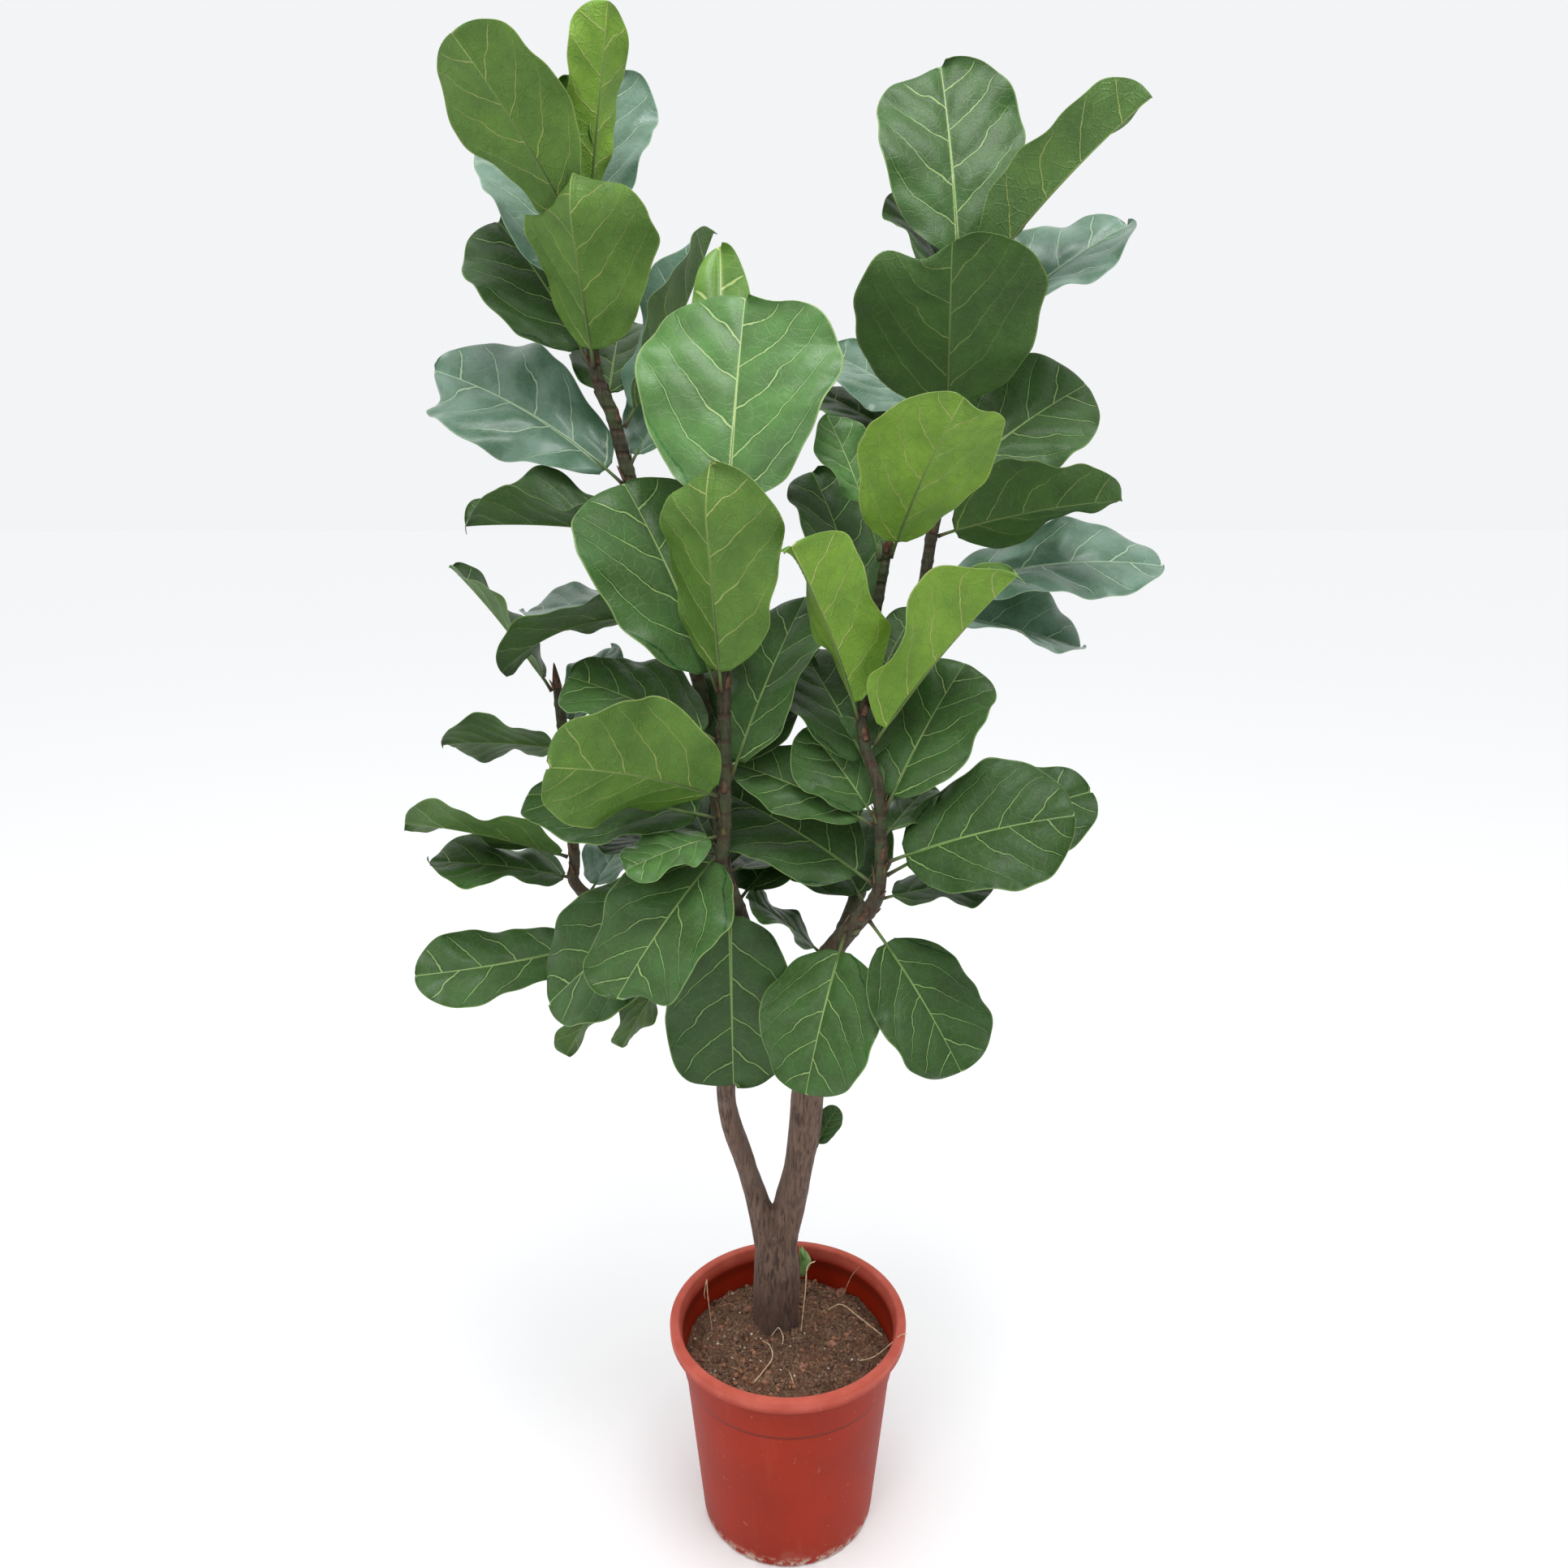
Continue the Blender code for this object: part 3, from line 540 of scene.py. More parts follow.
def at_shares(values, shares):
    place = np.clip(np.asarray(shares), 0, 1) * CENTRE_STEPS
    low = np.minimum(place.astype(int), CENTRE_STEPS - 1)
    part = (place - low)[..., None]
    return values[low] * (1 - part) + values[low + 1] * part


COLUMN_SIDE = [0.012, 0.035, 0.07, 0.12, 0.18, 0.25, 0.33, 0.42, 0.51, 0.60, 0.69, 0.78, 0.86,
               0.93, 0.98, 1.0]
COLUMNS = np.array([-c for c in reversed(COLUMN_SIDE)] + [0.0] + COLUMN_SIDE)
ROW_SHARES = np.concatenate([np.linspace(0.0, 0.80, 52, endpoint=False),
                             0.80 + 0.20 * np.sin(np.linspace(0, pi / 2, 17))])
ROW_SHARES[-1] = 0.9985

# How deep the notch in a leaf's tip is, as a share of its length, and where it lies across it.
NOTCHES = {
    "grown_high_right_leaf_2": (0.13, -0.27),
    "grown_high_right_leaf_1": (0.05, 0.35),
    "grown_centre_leaf_1": (0.07, -0.28),
    "grown_high_left_leaf_9": (0.09, 0.45),
    "grown_right_leaf_3": (0.06, 0.30),
    "grown_centre_leaf_7": (0.10, 0.30),
}


def blade_surface(name, shape, number, line, across, upper):
    """The middle surface of a blade, and how far across it each point lies."""
    stalk = shape["stalk"]
    blade_length = shape["length"] * (1 - stalk)
    phase = 3 * radians(shape["bearing"]) + 20 * shape["height"]
    fold = radians(shape["fold"])
    cup = radians(shape["cup"])

    q = ROW_SHARES[:, None]
    t = COLUMNS[None, :]
    out = np.abs(t)
    side_sign = np.sign(t)
    along = stalk + (1 - stalk) * q
    side = at_shares(across, along)
    up = at_shares(upper, along)
    half = half_width(q, shape["oval"]) * shape["width"] / 2
    # A gently uneven outline, different on each leaf and side.
    seed = number * 1.7
    uneven = 1 + 0.030 * np.sin(9 * q + seed + side_sign) + 0.016 * np.sin(23 * q + 2 * seed)
    uneven = np.where(q > 0.93, 1 + (uneven - 1) * (1 - (q - 0.93) / 0.07), uneven)
    half = half * uneven
    depth, beside = NOTCHES.get(name, (0, 0))
    place = t * half / (shape["width"] / 2)
    dent = depth * np.exp(-((place - beside) / 0.30) ** 2) * np.clip((q - 0.6) / 0.4, 0, 1)
    centre = at_shares(line, along - dent)
    slope = fold + cup * out / 2
    waves = 2 * pi * WAVES_PER_LEAF * q + phase + np.where(t > 0, 0, 2)
    wave = shape["wave"] * out * out * np.sin(waves) * np.minimum(1, 3 * q)
    size = blade_length / USUAL_BLADE
    ripple = 0.0022 * size * out ** 3 * np.sin(31 * q + seed + 2 * side_sign)
    flat = t * half / blade_length
    u = np.abs(flat)
    begin = q - (VEIN_SLANT + VEIN_BEND * u) * u
    vein_phase = SIDE_VEINS * begin + np.where(t > 0, VEIN_STAGGER, 0.0)
    puff = np.abs(np.sin(pi * vein_phase)) ** 0.8 * np.clip(u / 0.05, 0, 1)
    puff = puff * (1 - 0.7 * out ** 4) * np.clip(begin * 8 + 1, 0, 1)
    valley = -0.0014 * size * np.exp(-(u / 0.020) ** 2)
    lift = (0.0026 * puff - 0.0013) * size * np.clip(out * 8, 0, 1) + valley
    sideways = np.cos(slope) * t * half
    rise = np.sin(slope) * out * half + wave + ripple + lift
    surface = centre + side * sideways[..., None] + up * rise[..., None]
    return surface, flat


def stalk_tube(shape, line, across, upper):
    """Rings of points round the stalk, which runs on under the blade as the raised midrib."""
    stalk = shape["stalk"]
    size = shape["length"] * (1 - stalk) / USUAL_BLADE
    shares = np.linspace(0, stalk + (1 - stalk) * MIDRIB_END, STALK_STEPS)
    tube = []
    for share in shares:
        blade = max(0.0, (share - stalk) / (1 - stalk))
        thick = STALK_RADIUS * (1 + 0.45 * exp(-share * shape["length"] / 0.006))
        thick *= min(1.0, 0.55 + shape["length"] / 0.5)
        if blade > 0:
            thick *= max(0.16, (1 - blade) ** 0.75) * (1 - 0.25 * min(1, blade * 12))
        under = min(1, blade * 10) * (thick * 0.55 + 0.0014 * size)
        middle = at_shares(line, share) - at_shares(upper, share) * under
        turned_side, turned_up = at_shares(across, share), at_shares(upper, share)
        for corner in range(STALK_SIDES):
            angle = 2 * pi * corner / STALK_SIDES
            tube.append(middle + turned_side * cos(angle) * thick + turned_up * sin(angle) * thick)
    return shares, np.array(tube)


def leaf_mesh(name, stem, shape, number):
    base, stem_radius, stem_way = place_on_stem(stem, shape["height"])
    bearing = radians(shape["bearing"])
    outward = np.array([cos(bearing), sin(bearing), 0])
    first_rise = radians(shape["rise"] + shape["curl"] / 2)
    stalk_way = outward * cos(first_rise) + np.array([0, 0, sin(first_rise)])
    lean = abs(float(stalk_way @ stem_way))
    clear = stem_radius + STALK_GAP + lean * STALK_RADIUS
    start = base + outward * clear / np.linalg.norm(np.cross(outward, stem_way))
    line, across, upper = middle_line(start, shape)
    surface, flat = blade_surface(name, shape, number, line, across, upper)
    q = ROW_SHARES[:, None]
    t = COLUMNS[None, :]
    rows, columns = surface.shape[:2]
    d_along = np.gradient(surface, axis=0)
    d_across = np.gradient(surface, axis=1)
    normal = np.cross(d_along, d_across)
    normal /= np.linalg.norm(normal, axis=-1)[..., None]
    shell = BLADE_THICKNESS * (1 - 0.5 * np.abs(t) ** 6)[..., None]
    top = surface + normal * shell / 2
    bottom = surface - normal * shell / 2
    points = np.concatenate([top.reshape(-1, 3), bottom.reshape(-1, 3)])
    count = rows * columns
    index = np.arange(count).reshape(rows, columns)
    grid = grid_faces(index)
    faces = np.concatenate([grid[:, [0, 3, 2, 1]], grid + count])
    kinds = np.concatenate([np.zeros(len(grid), int), np.ones(len(grid), int)])
    ring = np.concatenate([index[:, 0], index[-1, 1:], index[::-1, -1][1:], index[0, ::-1][1:-1]])
    following = np.roll(ring, -1)
    rim = np.stack([ring, ring + count, following + count, following], -1)
    faces = np.concatenate([faces, rim])
    kinds = np.concatenate([kinds, np.zeros(len(rim), int)])
    vein_uv = np.stack([np.broadcast_to(q, flat.shape), flat + 0.5], -1).reshape(-1, 2)
    share_uv = np.stack(np.broadcast_arrays(q, (t + 1) / 2), -1).reshape(-1, 2)
    vein_uv = np.concatenate([vein_uv, vein_uv])
    share_uv = np.concatenate([share_uv, share_uv])

    shares, tube = stalk_tube(shape, line, across, upper)
    first = len(points)
    points = np.concatenate([points, tube])
    tube_index = first + np.arange(len(tube)).reshape(-1, STALK_SIDES)
    walls = ring_walls(tube_index)
    all_faces = [tuple(f) for f in np.concatenate([faces, walls])]
    all_faces.append(tuple(tube_index[0][::-1]))
    all_faces.append(tuple(tube_index[-1]))
    kinds = np.concatenate([kinds, np.full(len(walls) + 2, 2)])
    around = np.tile(np.arange(STALK_SIDES) / STALK_SIDES, STALK_STEPS)
    tube_uv = np.stack([np.repeat(shares, STALK_SIDES), around], -1)
    vein_uv = np.concatenate([vein_uv, tube_uv])
    share_uv = np.concatenate([share_uv, tube_uv])

    mesh = mesh_of(name, points, all_faces)
    mesh.polygons.foreach_set("material_index", kinds.astype(np.int32))
    corners = np.empty(len(mesh.loops), np.int32)
    mesh.loops.foreach_get("vertex_index", corners)
    for layer, values in (("veins", vein_uv), ("shares", share_uv)):
        made = mesh.uv_layers.new(name=layer)
        made.data.foreach_set("uv", values[corners].astype(np.float32).ravel())
    return mesh


def build_leaves():
    uppers = {tone: leaf_upper("leaf_upper_" + tone, *given) for tone, given in UPPER.items()}
    unders = {tone: leaf_under("leaf_under_" + tone, *given) for tone, given in UNDER.items()}
    stalk = stalk_material()
    todo = [(stem, shape, f"{stem}_leaf_{i}") for stem, shapes in LEAVES.items()
            for i, shape in enumerate(shapes, 1)]
    todo += [(stem, shape, None) for stem, shape in EXTRA_LEAVES]
    for number, (shoot, shape, node) in enumerate(todo, 1):
        name = f"grown_{node}" if node else f"small_leaf_{number}"
        stem = STEM_OF_SHOOT.get(shoot, shoot)
        piece = add_object(name, leaf_mesh(name, stem, shape, number))
        for material in (uppers[shape["tone"]], unders[shape["tone"]], stalk):
            piece.data.materials.append(material)
        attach(piece, "root")
        if node:
            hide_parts(node)


# ---------------------------------------------------------------- the woody plant
VOXEL = 0.0022
TUBE_SIDES = 26
TUBE_STEP = 0.005
THINNEST_STEM = 0.003
SCALE_STEPS = 7


def tube_mesh(points, radii, sides):
    """The points and faces of a closed tube."""
    points = np.asarray(points, float)
    ways = np.gradient(points, axis=0)
    ways /= np.linalg.norm(ways, axis=1)[:, None]
    side = np.cross(ways[0], (0.37, 0.91, 0.16))
    rows = []
    for point, way, radius in zip(points, ways, radii):
        side = side - way * (side @ way)
        side /= np.linalg.norm(side)
        other = np.cross(way, side)
        angles = np.arange(sides) * 2 * pi / sides
        rows.append(point + radius * (np.cos(angles)[:, None] * side
                                      + np.sin(angles)[:, None] * other))
    index = np.arange(len(rows) * sides).reshape(-1, sides)
    faces = [tuple(face) for face in ring_walls(index)]
    faces += [tuple(index[0][::-1]), tuple(index[-1])]
    return np.concatenate(rows), faces


def smooth_line(points, step):
    """Even steps along a smooth curve through the points; each has further values behind it."""
    points = np.asarray(points, float)
    padded = np.vstack([2 * points[0] - points[1], points, 2 * points[-1] - points[-2]])
    fine = []
    for before, low, high, after in zip(padded, padded[1:], padded[2:], padded[3:]):
        count = max(2, int(np.linalg.norm(high[:3] - low[:3]) / step))
        t = (np.arange(count) / count)[:, None]
        fine.append(0.5 * (2 * low + (high - before) * t
                           + (2 * before - 5 * low + 4 * high - after) * t ** 2
                           + (3 * low - before - 3 * high + after) * t ** 3))
    return np.vstack(fine + [points[-1:]])


def join_shapes(shapes):
    points = []
    faces = []
    for some_points, some_faces in shapes:
        first = sum(len(p) for p in points)
        points.append(np.asarray(some_points))
        faces += [tuple(corner + first for corner in face) for face in some_faces]
    return np.concatenate(points), faces


def bark_material():
    nodes = Nodes("bark")
    place = nodes.object_place()
    height = nodes.split(place)[2]
    stretch = nodes.stretched(place, (1, 1, 0.16))
    grain = nodes.noise(stretch, 240.0, 5, 0.65, 0.6)
    broad = nodes.noise(stretch, 42.0, 4, 0.6)
    patch = nodes.noise(place, 22.0, 4, 0.6)
    old = nodes.mix(nodes.ramp(grain, 0.34, 0.62), (0.040, 0.022, 0.015), (0.205, 0.122, 0.084))
    old = nodes.mix(nodes.ramp(broad, 0.40, 0.68, 0.0, 0.7), old, (0.145, 0.085, 0.058))
    old = nodes.mix(nodes.ramp(patch, 0.50, 0.72, 0.0, 0.40), old, (0.190, 0.145, 0.120))
    # The trunk's foot is darker and greyer.
    old = nodes.mix(nodes.ramp(height, 0.40, 0.29, 0.0, 0.35), old, (0.105, 0.078, 0.072))
    young = nodes.mix(nodes.ramp(grain, 0.35, 0.65), (0.028, 0.020, 0.010),
                      (0.070, 0.058, 0.028))
    young = nodes.mix(nodes.ramp(patch, 0.42, 0.66, 0.0, 0.75), young, (0.055, 0.082, 0.026))
    # Dark scars ring the young wood where leaves have grown.
    level = nodes.line(nodes.minus(nodes.noise(place, 9.0, 2), 0.5), 0.02, height)
    ring = nodes.math("FRACT", nodes.times(level, SCARS_PER_METRE))
    scar = nodes.ramp(nodes.size(nodes.minus(ring, 0.5)), 0.16, 0.02)
    young = nodes.tint(young, scar, 0.55, (0.060, 0.020, 0.012))
    colour = nodes.mix(nodes.ramp(height, 0.80, 1.05), old, young)
    rough = nodes.line(grain, 0.25, 0.62)
    relief = nodes.plus(grain, nodes.times(broad, 1.4))
    relief = nodes.minus(relief, nodes.times(scar, nodes.ramp(height, 0.75, 1.0, 0.0, 0.6)))
    return nodes.finish(colour, rough, nodes.bump(relief, 0.0030, 0.9))


def build_wood():
    shapes = []
    for stem in STEMS.values():
        line = smooth_line([(x, y, SOIL_TOP + z, r) for x, y, z, r in stem], TUBE_STEP)
        radii = np.maximum(line[:, 3], THINNEST_STEM)
        shapes.append(tube_mesh(line[:, :3], radii, TUBE_SIDES))
    points, faces = join_shapes(shapes)
    wood = add_object("grown_wood", mesh_of("grown_wood", points, faces))
    remesh = wood.modifiers.new("remesh", "REMESH")
    remesh.mode = "VOXEL"
    remesh.voxel_size = VOXEL
    relax = wood.modifiers.new("relax", "SMOOTH")
    relax.iterations = 5
    baked = bpy.data.meshes.new_from_object(
        wood.evaluated_get(bpy.context.evaluated_depsgraph_get()))
    wood.modifiers.clear()
    wood.data = baked
    count = len(baked.vertices)
    flat = np.empty(count * 3, np.float32)
    baked.vertices.foreach_get("co", flat)
    place = flat.reshape(-1, 3).astype(float)
    normals = np.empty(count * 3, np.float32)
    baked.vertices.foreach_get("normal", normals)
    normals = normals.reshape(-1, 3)
    lift = np.empty(count)
    for number, (x, y, z) in enumerate(place):
        old = min(1.0, max(0.12, (1.15 - z) / 0.6))
        ridges = noise.fractal(Vector((x * 62, y * 62, z * 13)), 0.8, 2.2, 3)
        swell = noise.noise(Vector((x * 12, y * 12, z * 16 + 3)))
        lift[number] = old * (0.0010 * ridges + 0.0016 * swell)
        if z > YOUNG_WOOD_HEIGHT:
            lift[number] += 0.0009 * max(0.0, cos(2 * pi * z * SCARS_PER_METRE)) ** 4
    place = place + normals * lift[:, None]
    baked.vertices.foreach_set("co", place.astype(np.float32).ravel())
    baked.polygons.foreach_set("use_smooth", [True] * len(baked.polygons))
    baked.update()
    baked.materials.clear()
    baked.materials.append(bark_material())
    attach(wood, "root")
    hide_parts("trunk_and_branches")
    build_scales()


def build_scales():
    """The papery brown scales left round the shoots, and the pointed bud that ends each one."""
    nodes = Nodes("bud_scale")
    place = nodes.object_place()
    streak = nodes.noise(place, 160.0, 4, 0.6)
    colour = nodes.mix(nodes.ramp(streak, 0.35, 0.65), (0.050, 0.018, 0.010),
                       (0.150, 0.065, 0.028))
    colour = nodes.mix(nodes.ramp(nodes.noise(place, 45.0, 3), 0.52, 0.70, 0.0, 0.7), colour,
                       (0.10, 0.14, 0.035))
    material = nodes.finish(colour, 0.62, nodes.bump(streak, 0.0010, 0.8))
    shapes = []
    for shoot, grown in LEAVES.items():
        stem = STEM_OF_SHOOT.get(shoot, shoot)
        for shape in grown:
            if shape["height"] < 0.6:
                continue
            for turn in (0.9, -1.1):
                base, radius, way = place_on_stem(stem, shape["height"] + 0.004)
                angle = radians(shape["bearing"]) + turn
                out = np.array([cos(angle), sin(angle), 0.0])
                out -= way * (out @ way)
                out /= np.linalg.norm(out)
                across = np.cross(way, out)
                length = 0.013 + 0.010 * RNG.random()
                rows = []
                for step in range(SCALE_STEPS):
                    share = step / (SCALE_STEPS - 1)
                    half = 0.0040 * (1 - share) ** 0.7 * (1 + 0.6 * share) + 0.0002
                    away = radius + 0.0008 + 0.0030 * share * share
                    for part in (-1, -0.4, 0.4, 1):
                        bend = half * part / radius * 0.8
                        rows.append(base + way * length * share + out * away * cos(bend)
                                    + across * away * sin(bend))
                front = grid_faces(np.arange(SCALE_STEPS * 4).reshape(SCALE_STEPS, 4))
                shapes.append((np.array(rows), [tuple(face) for face in front]))
    for name, stem in STEMS.items():
        if name == "trunk":
            continue
        x, y, z, radius = stem[-1]
        before = np.array(stem[-2][:3])
        tip = np.array([x, y, z])
        way = (tip - before) / np.linalg.norm(tip - before)
        shares = np.linspace(-0.1, 1, 12)
        line = [tip + [0, 0, SOIL_TOP] + way * 0.030 * share for share in shares]
        widths = [radius * 0.98 * (1 - max(0, share)) ** 0.75 + 0.0003 for share in shares]
        shapes.append(tube_mesh(line, widths, 14))
    points, faces = join_shapes(shapes)
    scales = add_object("bud_scales", mesh_of("bud_scales", points, faces))
    thick = scales.modifiers.new("thickness", "SOLIDIFY")
    thick.thickness = 0.0004
    scales.data.materials.append(material)
    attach(scales, "root")


# ---------------------------------------------------------------- the pot
RIM_RADIUS = 0.170
POT_HEIGHT = 0.320
BASE_RADIUS = 0.125
BODY_TOP_RADIUS = 0.1535
WALL = 0.0025
FLOOR = 0.003
LIP_HEIGHT = 0.019
LIP_TOP_WIDTH = 0.013
COLLAR_HEIGHT = 0.054
COLLAR_STEP = 0.002
DRAIN_HOLES = 6
DRAIN_RADIUS = 0.008
DRAIN_CIRCLE_RADIUS = 0.085
POT_SEGMENTS = 192


def outer_radius(height):
    """The body's outer radius at a height, which grows evenly from the foot to the lip."""
    top = POT_HEIGHT - LIP_HEIGHT
    return BASE_RADIUS + (BODY_TOP_RADIUS - BASE_RADIUS) * height / top


def rounded(corners, steps=5):
    """A line whose corners are rounded; each corner is (radius, height, rounding)."""
    line = []
    for before, corner, after in zip([corners[0]] + corners, corners, corners[1:] + corners[-1:]):
        here = np.array(corner[:2])
        back, on = np.array(before[:2]) - here, np.array(after[:2]) - here
        if corner[2] == 0 or not back.any() or not on.any():
            line.append(tuple(here))
            continue
        first = here + back / np.linalg.norm(back) * min(corner[2], np.linalg.norm(back) / 2)
        last = here + on / np.linalg.norm(on) * min(corner[2], np.linalg.norm(on) / 2)
        for share in np.linspace(0, 1, steps):
            line.append(tuple(first * (1 - share) ** 2 + here * 2 * share * (1 - share)
                              + last * share ** 2))
    return line


def revolve(line, segments):
    """A closed solid from a line that starts and ends on the axis."""
    angles = np.arange(segments) * 2 * pi / segments
    points = [(0, 0, line[0][1])]
    for radius, height in line[1:-1]:
        points += [(radius * cos(a), radius * sin(a), height) for a in angles]
    points.append((0, 0, line[-1][1]))
    return points, closed_faces(len(line) - 2, segments)


def pot_material():
    nodes = Nodes("terracotta_plastic")
    place = nodes.object_place()
    height = nodes.split(place)[2]
    lip_low = POT_HEIGHT - LIP_HEIGHT
    cloud = nodes.noise(place, 9.0, 4, 0.55)
    grain = nodes.noise(place, 420.0, 3, 0.6)
    colour = nodes.mix(nodes.ramp(cloud, 0.3, 0.7), (0.295, 0.017, 0.003), (0.355, 0.022, 0.005))
    # The rim is painted paler in patches: a painted highlight where the lip's top faces the light.
    worn = nodes.ramp(height, POT_HEIGHT - 0.022, POT_HEIGHT - 0.006)
    rub = nodes.ramp(nodes.noise(place, 30.0, 3), 0.2, 0.8, 0.45, 0.80)
    colour = nodes.tint(colour, worn, rub, (0.66, 0.15, 0.105))
    streak = nodes.noise(nodes.stretched(place, (1, 1, 0.08)), 60.0, 3)
    colour = nodes.mix(nodes.ramp(streak, 0.56, 0.72, 0.0, 0.04), colour, (0.62, 0.20, 0.15))
    speck = nodes.ramp(nodes.noise(place, 150.0, 2), 0.70, 0.75)
    colour = nodes.tint(colour, speck, 0.30, (0.62, 0.30, 0.22))
    # Painted shade darkens the colour in a groove just under the collar's step and in a band under
    # the lip.
    step = POT_HEIGHT - LIP_HEIGHT - COLLAR_HEIGHT - 0.0022
    groove = nodes.ramp(nodes.size(nodes.minus(height, step)), 0.0050, 0.0005, 0.0, 0.80)
    under_lip = nodes.times(nodes.ramp(height, lip_low - 0.020, lip_low - 0.003, 0.0, 0.60),
                            nodes.ramp(height, lip_low + 0.003, lip_low, 0.0, 1.0))
    colour = nodes.mix(nodes.math("MAXIMUM", groove, under_lip), colour, (0.110, 0.010, 0.004))
    # Pale dirt clings round the foot in broken patches.
    scuff = nodes.ramp(nodes.noise(place, 75.0, 5, 0.7), 0.47, 0.57)
    dirt = nodes.times(nodes.ramp(height, 0.022, 0.005), scuff)
    dust = nodes.times(nodes.ramp(height, 0.06, 0.0),
                       nodes.ramp(nodes.noise(place, 26.0, 5, 0.7), 0.45, 0.75))
    colour = nodes.tint(colour, dust, 0.22, (0.50, 0.32, 0.24))
    colour = nodes.tint(colour, dirt, 0.85, (0.62, 0.52, 0.43))
    rough = nodes.plus(nodes.line(cloud, 0.14, 0.44), nodes.times(dirt, 0.3))
    normal = nodes.bump(grain, 0.0002, 0.5)
    return nodes.finish(colour, rough, nodes.bump(cloud, 0.003, 0.3, normal),
                        Specular_IOR_Level=0.16)


def build_pot():
    lip_low = POT_HEIGHT - LIP_HEIGHT
    shoulder = lip_low - COLLAR_HEIGHT
    inner_top = RIM_RADIUS - LIP_TOP_WIDTH
    line = rounded([
        (0, FLOOR, 0),
        (outer_radius(0) - WALL, FLOOR, 0.004),
        (outer_radius(lip_low) - WALL, lip_low, 0.004),
        (inner_top, POT_HEIGHT, 0.0035),
        (RIM_RADIUS, POT_HEIGHT, 0.0045),
        (RIM_RADIUS - 0.0005, lip_low, 0.0030),
        (outer_radius(lip_low) + COLLAR_STEP, lip_low, 0.0030),
        (outer_radius(shoulder) + COLLAR_STEP, shoulder, 0.0020),
        (outer_radius(shoulder - 0.003), shoulder - 0.003, 0.0020),
        (outer_radius(0.005), 0.005, 0.004),
        (BASE_RADIUS - 0.003, 0, 0.0015),
        (0, 0, 0),
    ])
    points, faces = revolve(line, POT_SEGMENTS)
    pot = add_object("moulded_pot", mesh_of("moulded_pot", points, faces))
    cutters = []
    for number in range(DRAIN_HOLES):
        angle = 2 * pi * number / DRAIN_HOLES
        x, y = DRAIN_CIRCLE_RADIUS * cos(angle), DRAIN_CIRCLE_RADIUS * sin(angle)
        cutters.append(tube_mesh([(x, y, -0.01), (x, y, 0.01)], [DRAIN_RADIUS] * 2, 32))
    holes = add_object("drain_cutter", mesh_of("drain_cutter", *join_shapes(cutters), False))
    for mesh in (pot.data, holes.data):
        shaping = bmesh.new()
        shaping.from_mesh(mesh)
        bmesh.ops.recalc_face_normals(shaping, faces=shaping.faces)
        shaping.to_mesh(mesh)
        shaping.free()
    cut = pot.modifiers.new("drains", "BOOLEAN")
    cut.operation = "DIFFERENCE"
    cut.object = holes
    cut.solver = "EXACT"
    baked = bpy.data.meshes.new_from_object(
        pot.evaluated_get(bpy.context.evaluated_depsgraph_get()))
    pot.modifiers.clear()
    pot.data = baked
    bpy.data.objects.remove(holes)
    baked.materials.clear()
    baked.materials.append(pot_material())
    baked.set_sharp_from_angle(angle=radians(40))
    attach(pot, "root")
    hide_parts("pot")


# ---------------------------------------------------------------- the soil
SOIL_RINGS = 120
SOIL_SPOKES = 300
SOIL_GAP = 0.0004
TRUNK_CLEARANCE = 0.036

# Loose root threads on the soil, each a radius and the points it runs through.
ROOT_THREADS = [
    (0.0010, [(-0.111, 0.018, 0.272), (-0.113, 0.016, 0.300), (-0.116, 0.012, 0.340),
              (-0.117, 0.009, 0.372)]),
    (0.0006, [(-0.117, 0.009, 0.371), (-0.119, 0.008, 0.362), (-0.121, 0.008, 0.345),
              (-0.119, 0.009, 0.338)]),
    (0.0011, [(0.018, 0.002, 0.275), (0.021, 0.004, 0.310), (0.025, 0.008, 0.350),
              (0.028, 0.014, 0.388), (0.040, 0.030, 0.386)]),
    (0.0011, [(0.060, 0.060, 0.278), (0.080, 0.056, 0.291), (0.105, 0.030, 0.290),
              (0.138, -0.002, 0.284)]),
    (0.0009, [(0.095, -0.036, 0.276), (0.103, -0.048, 0.282), (0.122, -0.052, 0.292),
              (0.143, -0.050, 0.310), (0.158, -0.046, 0.322), (0.168, -0.040, 0.319)]),
    (0.0010, [(-0.037, -0.014, 0.286), (-0.026, -0.032, 0.293), (-0.022, -0.052, 0.290),
              (-0.034, -0.070, 0.284), (-0.048, -0.088, 0.279)]),
    (0.0010, [(-0.024, -0.004, 0.285), (-0.016, -0.004, 0.298), (-0.012, -0.006, 0.300),
              (-0.007, -0.014, 0.292), (-0.009, -0.028, 0.285)]),
    (0.0008, [(-0.006, -0.068, 0.281), (0.002, -0.076, 0.286), (0.008, -0.092, 0.279)]),
    (0.0005, [(0.085, 0.100, 0.272), (0.098, 0.108, 0.300), (0.112, 0.110, 0.318)]),
]
# Bark chips in the soil: right, back, size and how flat each one is.
BARK_CHIPS = [
    (0.082, 0.112, 0.013, 0.25), (0.064, -0.016, 0.009, 0.4), (0.066, 0.120, 0.010, 0.3),
    (-0.060, 0.055, 0.008, 0.4), (0.020, -0.060, 0.008, 0.5),
]


def soil_height(x, y):
    """The height of the lumpy surface at a place in the pot."""
    reach = hypot(x, y) / (outer_radius(SOIL_EDGE) - WALL)
    dome = SOIL_EDGE + (SOIL_TOP - SOIL_EDGE) * (1 - reach ** 2)
    lumps = noise.fractal(Vector((x * 38, y * 38, 1.5)), 0.85, 2.1, 3)
    crumbs = noise.fractal(Vector((x * 190, y * 190, 7.5)), 0.7, 2.2, 4)
    return dome + 0.0060 * lumps + 0.0030 * crumbs


